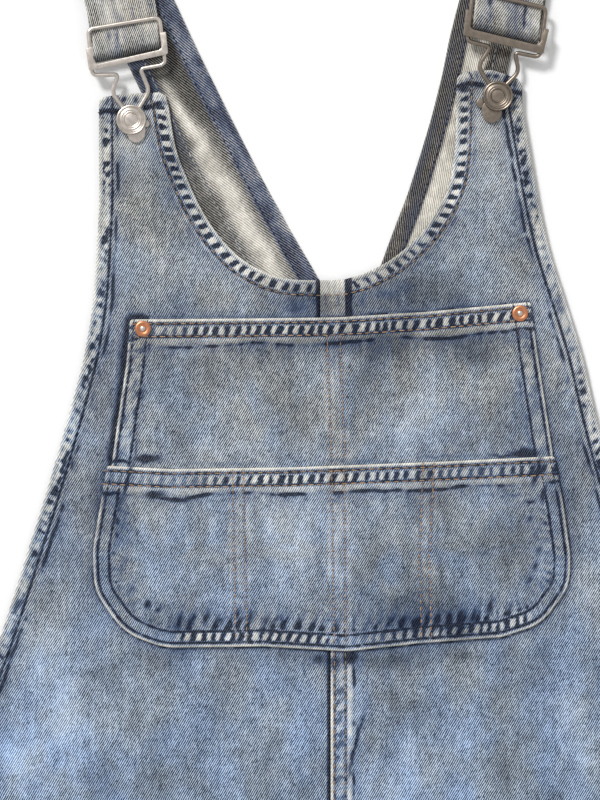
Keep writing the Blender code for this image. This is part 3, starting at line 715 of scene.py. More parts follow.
# stitches along rows of (line, colour name, pitch), lying on surface(points)
def stitches(name, rows, surface, seed):
    rng = np.random.default_rng(seed)
    sides = stitchSize["sides"]
    rings = ((-0.5, 0.35), (-0.36, 0.9), (0.0, 1.0), (0.36, 0.9), (0.5, 0.35))
    made = []
    for line, colour, pitch in rows:
        centres, _ = resampleLine(line, pitch)
        if len(centres) < 3:
            continue
        run = np.gradient(centres, axis=0)
        run /= np.linalg.norm(run, axis=1)[:, None]
        share = stitchSize["length"] / stitchSize["pitch"] * pitch
        for centre, way in zip(centres, run):
            skew = rng.normal(0, 0.06)
            way = np.array((way[0] - way[1] * skew, way[1] + way[0] * skew))
            side = np.array((-way[1], way[0]))
            half = share * (0.92 + 0.16 * rng.random())
            width = stitchSize["half"] * (0.85 + 0.3 * rng.random())
            jitter = side * rng.normal(0, 0.09) + way * rng.normal(0, 0.12)
            tone = np.array(threadLook[colour]) * (0.7 + 0.6 * rng.random())
            made.append((np.array([centre + jitter + way * half * r[0] for r in rings]), side, width, tone))
    heights = surface(np.concatenate([one[0] for one in made])).reshape(len(made), len(rings))
    vertices, faces, colours = [], [], []
    for (spots, side, width, tone), levelsHere in zip(made, heights):
        first = len(vertices)
        for (along, swell), spot, z in zip(rings, spots, levelsHere):
            dip = stitchSize["dip"] * (abs(along) * 2) ** 3
            for k in range(sides):
                a = 2 * math.pi * k / sides
                p = spot + side * math.cos(a) * width * swell
                height = z + (stitchSize["rise"] - dip + math.sin(a) * width * swell * 0.9)
                vertices.append((p[0] * mm, p[1] * mm, height * mm))
        colours += [(*tone, 1)] * (len(rings) * sides)
        for k in range(len(rings) - 1):
            for j in range(sides):
                a, b = first + k * sides + j, first + k * sides + (j + 1) % sides
                faces.append((a, b, b + sides, a + sides))
        faces.append(tuple(range(first + sides - 1, first - 1, -1)))
        last = first + (len(rings) - 1) * sides
        faces.append(tuple(range(last, last + sides)))
    mesh = bpy.data.meshes.new(name)
    mesh.from_pydata(vertices, [], faces)
    attribute = mesh.color_attributes.new("thread", "FLOAT_COLOR", "POINT")
    attribute.data.foreach_set("color", np.array(colours, np.float32).ravel())
    mesh.shade_smooth()
    mesh.materials.append(thread)
    thing = newPiece(name, mesh)
    declare(thing, None)
    return thing


# front panels
upperCorners = (
    (-113.2, 247.8, 2), (-60, 248.2, 0), (0, 248.9, 0), (50, 252.0, 0), (107.0, 257.4, 2), (111.0, 228, 0),
    (119.0, 176, 0), (121.5, 150, 3), (-126.0, 150, 3), (-119.4, 196, 0), (-115.2, 224, 0))
lowerCorners = ((-126.0, 167.4, 2), (-91, 165.5, 0), (-24, 166.5, 0), (60, 169.7, 0), (120.2, 172.6, 2),
                (124.9, 146.3, 0), (128.9, 118, 40), (128.4, 100.8, 24), (112.9, 80.3, 28), (91, 73.1, 0),
                (45, 69.6, 0), (6, 65.2, 30), (-40, 68.0, 0), (-95, 67.2, 40), (-116.6, 75.4, 34),
                (-132.9, 98.5, 28), (-133.7, 121, 40))
upperOutline = spaced(rounded(upperCorners), cloth["fine"], True)
lowerOutline = spaced(rounded(lowerCorners), cloth["fine"], True)
upperClosed = np.concatenate((upperOutline, upperOutline[:1]))
lowerClosed = np.concatenate((lowerOutline, lowerOutline[:1]))

tabLeft = [(-130, 368.2), (-127.6, 370.2), (-119.6, 371.5), (-108, 372.2), (-97, 372.8), (-93.6, 371)]
tabRight = [(66.6, 380.6), (69.5, 383.6), (78, 384.8), (86, 385), (93, 382.8), (100, 380.2), (102.2, 377)]
leftArm = np.array(smoothEdge(armhole, 1, 6)[::-1] + [(-130.2, 367)])
rightArm = np.array(smoothEdge(armhole, 2, 6)[::-1] + [(102.4, 375)])
leftNeck = np.array([(-93.4, 369.5)] + smoothEdge(neckline, 1, 6) + [
    (-28, 270.4), (-20.4, 269.6), (-8.8, 269.4)])
rightNeck = np.array([(66.5, 379)] + smoothEdge(neckline, 2, 6) + [(5, 270), (-2, 269.4), (-8.8, 269.4)])
leftSide = np.array([(-levels["hemHalf"], levels["hemY"] + levels["hemRise"]), (-228, -44)])
rightSide = leftSide * (-1, 1)


# where the right front's edge lies: further left above the pockets than below them
def seamLineX(y):
    return seam["foldX"] + (seam["neckX"] - seam["foldX"]) * smoothStep((y - 100) / 60)


seamY = np.linspace(seam["neckLow"], levels["hemY"], 260)
seamLine = np.column_stack((seamLineX(seamY), seamY))


def frontSpacing(points, d):
    y = points[:, 1]
    near, _ = lineField(points, upperClosed)
    nearLower, _ = lineField(points, lowerClosed)
    wanted = np.where(d < 15, cloth["fine"], np.where(d < 19, cloth["fine"] * 1.6, cloth["middle"]))
    close = np.minimum(near, nearLower) < 5
    wanted = np.where(close, np.minimum(wanted, cloth["fine"] * 1.6), wanted)
    hidden = inside(points, lowerOutline) | inside(points, upperOutline)
    wanted = np.where(hidden & (np.minimum(near, nearLower) > 5), cloth["coarse"], wanted)
    far = y < -40
    edged = (d < 14) | (y < levels["hemY"] + cloth["hemReach"])
    wanted = np.where(far, np.where(edged, cloth["middle"], cloth["coarse"]), wanted)
    return np.where(far & (d < 5), cloth["fine"] * 1.6, wanted)


tackLines = {"left": (((-130.2, 361.6), (-126, 362.6), (-119, 362.2)),
                      ((-104.5, 364.2), (-101, 365.4), (-97.0, 366.6))),
             "right": (((67.4, 376.0), (73, 377.6), (80.2, 376.8)), ((96.6, 373.4), (102.2, 372.0)))}


# marks and painted shadows along the pocket edges and the seam: x, y, reach across, reach along, strength
frontMarksAndShadows = {"left": ((-22, 254, 9, 4.5, 0.62), (-31, 257, 6, 3, 0.35), (-117, 368.9, 1.6, 1.5, 1.1),
                       (-110.1, 368.4, 1.5, 2, 1.0), (-9, 61, 6, 4, 0.8), (-104, 171, 8, 2.4, 0.75),
                       (-119, 169.6, 8, 1.1, 1.1), (-92, 246, 14, 3, 0.3)),
              "right": ((14.6, 257.5, 3, 3, 0.6), (27, 262, 8, 3.6, 0.5), (38, 266, 5, 3, 0.35),
                        (83.5, 382.2, 1.5, 1.5, 1.0), (88.2, 381.2, 1.5, 1.6, 1.0),
                        (93.2, 379, 1.5, 1.6, 1.0), (8, 61.5, 5, 4.5, 1.2), (0, 59, 5, 5, 0.75),
                        (13, 57, 3, 5, 0.45), (11.2, 15, 1.5, 24, 0.9), (70.5, 374, 5, 1.6, 0.9))}


# the left front ends in a groove along the seam, painted dark as the shadow of the right front's raised edge
def seamGrooveShadow(points, patch, height, dark):
    near, _ = lineField(points, seamLine)
    above = smoothStep((points[:, 1] - 232) / 8)
    grooveShadow = 1.3 * np.exp(-(near / (1.7 + 0.5 * above)) ** 4)
    dark = np.maximum(dark, grooveShadow + 0.55 * patch * np.exp(-near / 3.5))
    return height - 0.5 * np.exp(-near / 3), dark


# the right front carries the pale seam strip under the neck, with painted shade on its far side
def neckStrip(points, patch, seed, height, worn, dark):
    x, y = points.T
    bib = smoothStep((y - 232) / 8)
    strip = smoothStep((6.2 - x) / 1.2) * bib
    top = smoothStep((y - 261) / 1.5)
    worn = np.maximum(worn * (1 - 0.5 * strip), strip * (0.42 + 0.5 * top))
    dark = dark * (1 - strip)
    dark = dark + 1.3 * bib * np.exp(-((x - 6.8) / 1.9) ** 4)
    dots = 0.5 + 0.8 * noise(x * 0, y, 1.8, seed)
    for centre in (-5.7, 1.0):
        dark = dark + bib * (1 - top) * dots * np.exp(-((x - centre) / 0.6) ** 2)
    dark = dark + 0.55 * bib * patch * smoothStep((x - 6.5) / 1) * np.exp(-np.maximum(x - 6.5, 0) / 4)
    return height + 0.35 * strip, worn, dark


def frontShape(side):
    arm, neck, tab, skirtSide = ((leftArm, leftNeck, tabLeft, leftSide) if side == "left"
                                 else (rightArm, rightNeck, tabRight, rightSide))
    hemLine = hemCurve(-levels["hemHalf"], levels["hemHalf"], 4)
    seed = 11 if side == "left" else 47

    def shape(points, d):
        x, y = points.T
        parts = [(arm, armHem, seed, 1), (neck, neckHem, seed + 20, 1), (tab, tabHem, seed + 40, 1),
                 (hemLine, skirtHem, seed + 60, 1), (skirtSide, sideSeam, seed + 80, 1)]
        if side == "right":
            parts.append((seamLine, fellSeam, seed + 100, below(90, 20)))
        height, worn, dark = combine(parts, points)
        patch = 0.5 + 0.5 * noise(x, y, 5, seed + 3)
        if side == "left":
            height, dark = seamGrooveShadow(points, patch, height, dark)
        else:
            height, worn, dark = neckStrip(points, patch, seed + 6, height, worn, dark)
        pale = 0.34 * smoothStep((y - 300) / 50)
        worn = np.maximum(worn, pale * (0.7 + 0.5 * noise(x, y, 9, seed + 4)))
        for line in tackLines[side]:
            near, along = lineField(points, np.array(line, float), 12)
            tack = np.exp(-(near / 1.5) ** 2) * (1.25 + 0.4 * noise(along, along * 0, 1.6, seed + 9))
            dark = np.maximum(dark, tack)
            worn = worn * (1 - np.clip(tack, 0, 1))
        # each pocket is ringed on the front by painted shadow and darker unfaded dye, with a band of unfaded
        # dye left of the upper pocket
        for outline, closed in ((upperOutline, upperClosed), (lowerOutline, lowerClosed)):
            near, along = lineField(points, closed)
            out = ~inside(points, outline)
            patch = 0.5 + 0.5 * noise(x, y, 14, seed + 5)
            shadeAndDye = 0.75 * np.exp(-near / 1.3) + 0.34 * patch * np.exp(-near / 8)
            if closed is upperClosed:
                beside = smoothStep((-100 - x) / 8) * smoothStep((y - 165) / 8)
                shadeAndDye = shadeAndDye + beside * 0.7 * np.exp(-((near / 4.5) ** 2))
            dark = np.maximum(dark, out * shadeAndDye)
        marks = marksAndShadowsAt(x, y, frontMarksAndShadows[side])
        dark, worn = np.maximum(dark, marks), worn * (1 - np.clip(marks, 0, 1))
        ripple = 0.16 * noise(x, y, 26, seed + 7) + 0.1 * noise(x, y, 11, seed + 8)
        body = frontLift(x, y)
        lower = body + cloth["gap"] + ripple * 0.5
        upper = body + cloth["thick"] + ripple + height - edgeRound(d)
        lower = np.minimum(lower, upper - cloth["leastWall"])
        return upper, lower, {"worn": worn, "dark": dark, **washAndShadeAt(x, y)}

    return shape


def loop(*lines):
    return np.concatenate([np.asarray(line, float) for line in lines])


def dedupe(outline, least):
    kept = [outline[0]]
    for p in outline[1:]:
        if np.linalg.norm(p - kept[-1]) > least:
            kept.append(p)
    if np.linalg.norm(kept[0] - kept[-1]) < least:
        kept.pop()
    return np.array(kept)


# fine above a level, coarser below it
def spaceBy(line, where):
    pieces = []
    for a, b in zip(line[:-1], line[1:]):
        spacing = cloth["fine"] if max(a[1], b[1]) > where else 2.4
        count = max(1, int(round(np.linalg.norm(b - a) / spacing)))
        pieces += [a + (b - a) * k / count for k in range(count)]
    pieces.append(line[-1])
    return np.array(pieces)


leftLoop = loop(hemCurve(seam["foldX"] - 0.2, -levels["hemHalf"], 2.4), leftSide[1:], leftArm[1:],
                tabLeft, leftNeck, seamLine[1:-1] - (0.2, 0))
rightLoop = loop(hemCurve(seam["foldX"] + 0.1, levels["hemHalf"], 2.4), rightSide[1:], rightArm[1:],
                 tabRight[::-1], rightNeck, seamLine[1:-1] + (0.1, 0))
leftLoop = dedupe(spaceBy(np.concatenate((leftLoop, leftLoop[:1])), -40), 0.55)
rightLoop = dedupe(spaceBy(np.concatenate((rightLoop, rightLoop[:1])), -40), 0.55)
fronts = {}
for side, outline in (("left", leftLoop), ("right", rightLoop)):
    piece, area = clothMesh("front_" + side + "_cloth", outline, frontSpacing, frontShape(side),
                            [denim, denimInside])
    declare(piece, "front_" + side)
    fronts[side] = (piece, area)
print("fronts ready")

# pockets
upperTop = spaced(rounded(upperCorners)[:14], 1)
upperLeft = np.array([(-113.5, 246.5), (-115.2, 224), (-119.4, 196), (-126.0, 150)])
upperRight = np.array([(107.2, 256), (111.0, 228), (119.0, 176), (121.5, 150)])
lowerTop = np.array([(-126, 167.4), (-91, 165.5), (-24, 166.5), (60, 169.7), (120.2, 172.6)])
border = rounded(lowerCorners)
mouthEnd = max(i for i, (x, y) in enumerate(border) if y > 160 and x > 0)
lowerBorder = np.array(border[mouthEnd:] + [(-126.3, 166)])
# stitched lines that show through the pockets: pairs of lines
foldLines = {
    "upperCentre": (((-5.0, 238), (-2.4, 170)), ((2.2, 238), (5.0, 170))),
    "lowerCentre": (((-2.2, 164), (-1.1, 70)), ((4.4, 164), (5.5, 70))),
    "lowerLeft": (((-56.9, 164), (-55, 72)), ((-50.9, 164), (-49, 72))),
    "lowerRight": (((47.9, 168), (45.9, 118), (47.1, 74)), ((53.9, 168), (51.4, 118), (52.5, 74)))}


# a shallow channel with light shoulders along stitched lines, the channel painted dark as shade
def seamLook(points, lines, seed, worth=1.0):
    height, worn, dark = np.zeros(len(points)), np.zeros(len(points)), np.zeros(len(points))
    for k, line in enumerate(lines):
        d, s = lineField(points, np.array(line, float))
        beat = noise(s, s * 0, 5, seed + k)
        height -= 0.3 * np.exp(-((d / 1.3) ** 2)) * (0.8 + 0.4 * beat) * worth
        worn += 0.4 * np.exp(-(((d - 1.9) / 1.1) ** 2)) * (0.5 + 0.6 * beat) * worth
        dark += 0.35 * np.exp(-((d / 0.9) ** 2)) * worth
    return height, np.clip(worn, 0, 1), np.clip(dark, 0, 1)


# many of the pockets' marks are painted shadows, below the mouth hems and above the lower pocket's top edge
pocketMarksAndShadows = {"upper": ((104, 174.3, 9, 2.6, 1.25), (92, 172.8, 12, 1.6, 0.8),
                         (-104, 171.0, 9, 2.8, 1.1), (-119, 169.4, 7, 1.2, 1.2),
                         (60, 172.5, 22, 1.3, 0.5), (-60, 168.3, 26, 1.2, 0.45),
                         (10, 169.4, 22, 1.2, 0.5), (0, 233.5, 5, 3, 0.7), (-3, 226, 4, 6, 0.35),
                         (24, 232, 4, 3, 0.35), (96, 236, 6, 3, 0.4), (-78, 234, 8, 3, 0.4),
                         (-45, 233, 7, 2.6, 0.35)),
               "lower": ((-114.8, 159, 1.2, 9, 1.3), (110.7, 164, 1.7, 8, 1.3), (114.0, 152, 1.6, 7, 1.0),
                         (-124, 152.3, 6, 1.3, 1.1), (-118.5, 148, 3, 5, 0.7),
                         (-118.3, 132, 1.8, 13, 0.6), (-117.2, 112, 1.8, 10, 0.55),
                         (-112.5, 100, 2.4, 5, 0.5), (-103.6, 91, 2.4, 3, 0.9),
                         (-97.3, 88.4, 2.4, 3, 0.8), (-86, 82, 2.2, 5, 1.0), (-78.4, 83, 2.0, 4.5, 0.85),
                         (-71.3, 83.4, 2.2, 4.6, 0.95), (-62.9, 82, 2.0, 5, 0.7),
                         (-54.5, 85, 2.1, 5, 0.85), (-47.5, 84, 2.2, 5.5, 0.8), (-39, 82, 2.1, 5, 0.6),
                         (-30, 83, 2.0, 5, 0.55), (-21, 82, 2.0, 4.5, 0.5), (29, 81, 2.2, 4, 0.8),
                         (36.5, 81, 2.6, 4.5, 1.1), (43, 81, 2.2, 5, 1.0), (49.5, 82, 1.9, 7, 1.0),
                         (55.5, 82, 2.4, 5.5, 1.15), (61.8, 82.5, 2.1, 5.5, 1.1), (68, 84, 2.3, 5.5, 1.1),
                         (75.8, 84.5, 2.4, 5.5, 0.9), (85, 90, 2.2, 6, 0.95), (95.5, 88, 1.9, 9, 0.7),
                         (106.5, 105, 2.0, 4.5, 0.75), (110, 112.5, 1.9, 4, 0.75),
                         (111.5, 121, 2.2, 3.4, 0.7), (109.5, 131, 1.9, 4, 0.5),
                         (107, 138, 2.4, 3.6, 0.7), (107, 147.5, 3.4, 2.0, 0.9), (98, 151.5, 5, 1.6, 0.6),
                         (84, 151.5, 7, 1.3, 0.5), (-100, 151.5, 8, 2, 0.9), (-86, 148.4, 7, 1.6, 1.1),
                         (2, 150, 6, 3, 0.5))}


def pocketShape(parts, lines, step, seed, folds, marks, hiddenBelow=None):
    def shape(points, d):
        x, y = points.T
        height, worn, dark = combine(parts, points)
        for group in lines:
            h, w, k = seamLook(points, group, seed + 9)
            height, worn, dark = height + h, np.maximum(worn, w), np.maximum(dark, k)
        ripple = 0.16 * noise(x, y, 24, seed) + 0.1 * noise(x, y, 10, seed + 1)
        for line, reach, depth in folds:
            away, s = lineField(points, np.array(line, float))
            ends = smoothStep(s / 18) * smoothStep((s.max() - s) / 18)
            ripple = ripple + depth * np.exp(-((away / reach) ** 2)) * ends
        spots = marksAndShadowsAt(x, y, marks)
        dark, worn = np.maximum(dark, spots), worn * (1 - np.clip(spots, 0, 1))
        if hiddenBelow:
            keep = smoothStep((y - hiddenBelow) / 6)
            height, ripple = height * keep, ripple * keep
        base = frontLift(x, y) + step(x, y)
        upper = base + cloth["thick"] + ripple + height - edgeRound(d)
        lower = np.minimum(base + cloth["gap"], upper - cloth["leastWall"])
        return upper, lower, {"worn": worn, "dark": dark, **washAndShadeAt(x, y)}

    return shape


def upperStep(x, y):
    return levels["pocketStep"] + 0 * x


def lowerStep(x, y):
    return levels["pocketStep"] * (1 + smoothStep((y - 108) / 24))


def pocketSpacing(points, d):
    return np.where(d < 24, cloth["fine"], cloth["fine"] * 1.6)


# folds are a line, a half width and a height
upperFolds = (
    (((29, 240), (20, 222), (8, 205), (6, 190), (5, 172)), 6, -0.9),
    (((-50, 228), (-46, 205), (-40, 178)), 5, 0.7),
    (((-58, 222), (-55, 200)), 7, -0.6),
    (((70, 236), (64, 205), (66, 176)), 9, 0.6))
lowerFolds = (
    (((34, 150), (31, 120), (30, 95)), 8, -0.9),
    (((20, 150), (17, 120), (18, 90)), 7, 0.6),
    (((-84, 152), (-88, 120), (-80, 92)), 10, 0.6),
    (((88, 150), (84, 118), (88, 92)), 10, 0.6))


upperParts = [(upperTop, mouthHem, 201, 1), (upperLeft, sideHem, 221, below(233.5)),
              (upperRight, sideHem, 241, below(242.5))]
lowerParts = [(lowerTop, lowerMouthHem, 301, 1), (lowerBorder, borderHem, 321, below(152.5))]
upperShape = pocketShape(upperParts, (foldLines["upperCentre"],), upperStep, 61, upperFolds,
                         pocketMarksAndShadows["upper"], 158)
lowerShape = pocketShape(lowerParts,
                         (foldLines["lowerCentre"], foldLines["lowerLeft"], foldLines["lowerRight"]),
                         lowerStep, 71, lowerFolds, pocketMarksAndShadows["lower"])
pockets = {}
for name, outline, shape in (("upper", upperOutline, upperShape), ("lower", lowerOutline, lowerShape)):
    piece, area = clothMesh(name + "_pocket_cloth", outline, pocketSpacing, shape, [denim, denimInside])
    declare(piece, name + "_pocket")
    pockets[name] = (piece, area)
print("pockets ready")


# the height of a finished cloth at points
def topOf(shape):
    def level(points):
        upper, _, _ = shape(points, np.full(len(points), 5.0))
        return upper
    return level


leftTop, rightTop = topOf(frontShape("left")), topOf(frontShape("right"))
upperLevel, lowerLevel = topOf(upperShape), topOf(lowerShape)
pitch = stitchSize["pitch"]


# a row of stitches set in from an edge, on the side where inwards lies
def inset(line, depth, inwards):
    line, _ = resampleLine(line, 1.0)
    left = offsetLine(line, depth)
    right = offsetLine(line, -depth)
    target = np.array(inwards, float)
    away = [np.linalg.norm(row - target, axis=1).sum() for row in (left, right)]
    return left if away[0] < away[1] else right


belowPocket = seamLine[seamLine[:, 1] < 70]
stitches("front_left_stitches", [
    (inset(leftArm, armHem["rows"][0], (0, 200)), "dark", pitch),
    (inset(leftNeck, neckHem["rows"][0], (-120, 200)), "brown", pitch),
    (np.array(tackLines["left"][0]), "dark", 2.2),
    (np.array(tackLines["left"][1]), "dark", 2.2)], leftTop, 5)
stitches("front_right_stitches", [
    (inset(rightArm, armHem["rows"][0], (0, 200)), "dark", pitch),
    (inset(rightNeck, neckHem["rows"][0], (120, 200)), "brown", pitch),
    (np.array(tackLines["right"][0]), "dark", 2.2),
    (np.array(tackLines["right"][1]), "dark", 2.0),
    (belowPocket + (fellSeam["rows"][0], 0), "brown", pitch),
    (belowPocket + (fellSeam["rows"][1], 0), "brown", pitch)], rightTop, 6)
stitches("upper_pocket_stitches", [
    (inset(upperTop, 2.5, (0, 200)), "brown", pitch), (inset(upperTop, 9.6, (0, 200)), "orange", pitch),
    (inset(upperLeft, 2.2, (0, 200)), "dark", pitch), (inset(upperLeft, 9.8, (0, 200)), "dark", pitch),
    (inset(upperRight, 2.2, (0, 200)), "dark", pitch), (inset(upperRight, 9.8, (0, 200)), "dark", pitch),
    (np.array(foldLines["upperCentre"][0], float), "orange", 3.6),
    (np.array(foldLines["upperCentre"][1], float), "orange", 3.6)], upperLevel, 7)
lowerRows = [
    (inset(lowerTop, 2.7, (0, 100)), "brown", pitch), (inset(lowerTop, 10.0, (0, 100)), "orange", pitch),
    (inset(lowerBorder, 2.7, (0, 120)), "dark", 4.2), (inset(lowerBorder, 8.8, (0, 120)), "dark", 4.2),
    (np.array(((-2.6, 164.3), (5.2, 164.8))), "orange", 2.3)]
for key in ("lowerCentre", "lowerLeft", "lowerRight"):
    lowerRows += [(np.array(line, float), "orange", 3.6) for line in foldLines[key]]
stitches("lower_pocket_stitches", lowerRows, lowerLevel, 8)
print("stitches ready")

# straps
strapCut = {"hem": 10.0, "step": 1.15, "columns": 33, "width": 38, "behind": 205}
# rows of a strap are x, y, tilt and width, a fold or a bar is x, y and tilt; corners of the wire are
# x, y, height and radius, and those of the plate x, y and radius
buckles = {
    "left": {
        "back": ((-12.85, 236.3, 0, 42.9), (-25.6, 260.1, 29, 38), (-42.5, 289, 29, 38),
                 (-58.6, 318.4, 28, 38), (-75.0, 350.5, 26.5, 38), (-91.9, 384.6, 25.5, 38),
                 (-106.8, 416.5, 24, 38), (-120.5, 443.0, 21, 38)),
        "fold": (-127.5, 456.8, 18),
        "front": ((-124.6, 446.0, 15, 38), (-118.9, 423.5, 12, 38), (-116.6, 411.5, 11.5, 37.5)),
        "bar": (-114.9, 395.7, 11.9),
        "tail": ((-116.4, 404.0, 11.9, 37), (-119.2, 423.0, 12, 37), (-121.6, 434.0, 13, 37)),
        "wire": ((-136.2, 407.1, 8.2, 3.5), (-97.1, 413.8, 8.2, 3.5), (-93.9, 387.8, 8.1, 3.2),
                 (-107.5, 385.5, 7.6, 1.8), (-102.6, 373.6, 6.5, 7), (-109.2, 362.5, 6.2, 3),
                 (-109.2, 353.9, 6.2, 3.1), (-115.8, 353.9, 6.2, 3.1), (-115.8, 362.5, 6.2, 3),
                 (-123.3, 372.5, 6.5, 7), (-119.6, 382.3, 7.6, 1.8), (-133.8, 381.8, 8.1, 3)),
        "plate": ((-137.4, 396.5, 0.5), (-135.6, 383.9, 1.4), (-92.2, 393.3, 1.4), (-93.4, 405.6, 0.5),
                  (-96.9, 405.0, 0.5), (-95.6, 396.0, 2.4), (-132.6, 387.6, 2.4), (-133.9, 397.2, 0.5)),
        "button": (-112.5, 357.4), "tongue": (-109.9, 351.3, 5.2, 6.4), "lobe": (-104.4, 355.4, 1.9),
        "rivet": (-106.2, 242.7)},
    "right": {
        "back": ((30.1, 236.3, 0, 41.8), (38.5, 260.5, -25, 38), (48.2, 286.8, -24, 38),
                 (57.0, 309.5, -21, 38), (63.8, 332.0, -17.5, 37), (70.0, 354.5, -15.5, 36),
                 (75.2, 377.0, -13, 35), (79.6, 399.0, -12, 35), (86.0, 422.0, -14, 36),
                 (94.0, 443.0, -15, 37)),
        "fold": (99.0, 459.3, -11),
        "front": ((99.2, 447.0, -10.5, 38), (95.8, 428.0, -12, 38), (95.0, 423.8, -12.6, 37.5)),
        "bar": (93.2, 406.0, -12.6),
        "tail": ((95.0, 414.0, -12.6, 37), (98.6, 434.0, -12, 37), (100.0, 445.0, -11, 37)),
        "wire": ((75.2, 428.3, 8.2, 3.5), (115.4, 418.7, 8.2, 3.5), (111.8, 391.7, 8.1, 3),
                 (98.2, 394.5, 7.6, 1.8), (100.6, 383.8, 6.5, 7), (92.15, 375.5, 6.2, 3),
                 (92.15, 366.9, 6.2, 3.1), (85.55, 366.9, 6.2, 3.1), (85.55, 375.5, 6.2, 3),
                 (77.9, 386.6, 6.5, 7), (84.8, 397.6, 7.6, 1.8), (72.1, 400.7, 8.1, 3)),
        "plate": ((71.4, 417.9, 0.6), (69.6, 403.6, 1.4), (113.7, 393.1, 1.4), (116.9, 406.9, 0.6),
                  (114.2, 407.4, 0.6), (111.7, 398.0, 3), (73.5, 407.3, 3), (74.6, 417.5, 0.6)),
        "button": (88.85, 370.4), "tongue": (85.6, 362.4, 5.6, 6.6), "lobe": (79.6, 366.6, 2.6),
        "rivet": (101.2, 251.1)}}
runs = {"floor": 1.0, "front": 5.8, "tail": 3.35, "bar": 5.75, "roll": 2.4}


# sections round a fold or a bar, between two levels
def turn(centre, tilt, width, low, high, upwards):
    radius, way = (high - low) / 2, 1 if upwards else -1
    sections = []
    for angle in np.linspace(-math.pi / 2, math.pi / 2, 17):
        reach = math.cos(angle) * radius * way
        x = centre[0] - math.sin(math.radians(tilt)) * reach
        y = centre[1] + math.cos(math.radians(tilt)) * reach
        sections.append((x, y, (low + high) / 2 + math.sin(angle) * radius * way, tilt, width))
    return sections


def flatRun(rows, height):
    return [(x, y, height, tilt, width) for x, y, tilt, width in rows]


def strapSections(side):
    sections = flatRun(side["back"], runs["floor"])
    fold, tilt = side["fold"][:2], side["fold"][2]
    sections += turn(fold, tilt, strapCut["width"], runs["floor"], runs["front"], True)
    sections += flatRun(side["front"], runs["front"])
    top, bar, tilt = Vector(side["front"][-1][:2]), Vector(side["bar"][:2]), side["bar"][2]
    rollTop = runs["bar"] + runs["roll"]
    for t in (0.2, 0.3, 0.42, 0.55, 0.68, 0.8, 0.9):
        place = top.lerp(bar, t)
        rise = runs["front"] + (rollTop - runs["front"]) * float(smoothStep(t * 1.1))
        sections.append((place.x, place.y, rise, tilt, 37))
    sections += turn(side["bar"][:2], tilt, 37, runs["tail"], rollTop, False)
    return np.array(sections + flatRun(side["tail"], runs["tail"]))


strapLook = dict(denimLook, twillAngle=-27, shade=(0.022, 0.022, 0.025), yarn=(0.68, 0.66, 0.62),
                 blue=(0.86, 0.95, 1.08), patchSize=(12 * mm, 20 * mm))
strapInsideLook = dict(strapLook, twillPitch=1.2 * mm, shade=(0.02, 0.018, 0.017),
                       yarn=(0.60, 0.57, 0.53), blue=(0.97, 0.98, 1.0), grey=(1.0, 0.98, 0.94),
                       indigo=(0.022, 0.06, 0.16), navy=(0.004, 0.01, 0.035), palest=(0.82, 0.78, 0.70),
                       fleck=0.72)
strapOuter = denimMaterial("strapDenim", strapLook, "cut")
strapInner = denimMaterial("strapReverse", strapInsideLook, "cut")


# rows along the route of a strap, at an even step: x, y, height, tilt and width
def strapRows(side):
    sections = strapSections(side)
    length = np.concatenate(([0], np.cumsum(np.linalg.norm(np.diff(sections[:, :3], axis=0), axis=1))))
    s = np.linspace(0, length[-1], int(length[-1] / strapCut["step"]))
    rows = np.column_stack([np.interp(s, length, sections[:, k]) for k in range(5)])
    behind = s < strapCut["behind"]
    for k in (0, 1, 3, 4):
        eased = np.convolve(np.pad(rows[:, k], 4, mode="edge"), np.ones(9) / 9, mode="valid")
        rows[behind, k] = eased[behind]
    tailEnd = np.linalg.norm(np.diff(sections[-4:, :2], axis=0), axis=1).sum()
    return rows, s, length[-1] - tailEnd - 5.2


# wear, darkness and tone of the inner side, at c across and s along; the darkening towards the buckle and,
# on the left strap, by the bib's edge is painted shadow of the front, and the stitch channels are painted
# dark as shade
def innerWearAndShade(c, s, half, edge, stitched, mirrored, seed):
    slub = noise(c, s * 0.12, 2.6, seed + 3)
    ends = noise(s, s * 0, 12, seed + 5)
    u = -c if mirrored else c
    band = smoothStep((u - half[:, None] + strapCut["hem"] + 0.8) / 1.4)
    farBand = smoothStep((-u - half[:, None] + strapCut["hem"] + 0.8) / 1.4)
    upward = smoothStep((s - 95) / 70)
    if mirrored:
        far = smoothStep((-u - 2) / 6)
        dark = band * 0.1 * (1 + slub)
        tone = -1.55 * band * (0.9 + 0.3 * slub) - 1.1 * far * smoothStep((s - 135) / 30)
        worn = (1 - band) * (0.95 + 0.15 * slub) * (1 - 0.9 * far * upward) + 0.5 * (edge < 0.9)
    else:
        dark = band * (0.55 + 0.3 * noise(c, s * 0.6, 3.5, seed + 6) + 0.25 * slub) + 0.3 * farBand * upward
        tone = -(1 - band) * (0.6 + 0.8 * upward) - 0.6 * farBand * (0.5 + upward) - 0.35 * band
        wide = 3.4 + 3.0 * (1 - upward)
        streak = np.exp(-((u + 4.5 - 3 * (1 - upward) + 2 * ends) / wide) ** 2)
        streak = streak * (1 - 0.85 * smoothStep((s - 150) / 30))
        dark, tone = dark * (1 - 0.8 * streak), tone * (1 - streak)
        worn = 1.0 * streak + 0.2 * (1 - band) * (0.5 + slub) * (1 - upward) + 0.8 * (edge < 1.1)
    return worn, dark + 0.4 * stitched * (0.6 + 0.4 * ends), tone
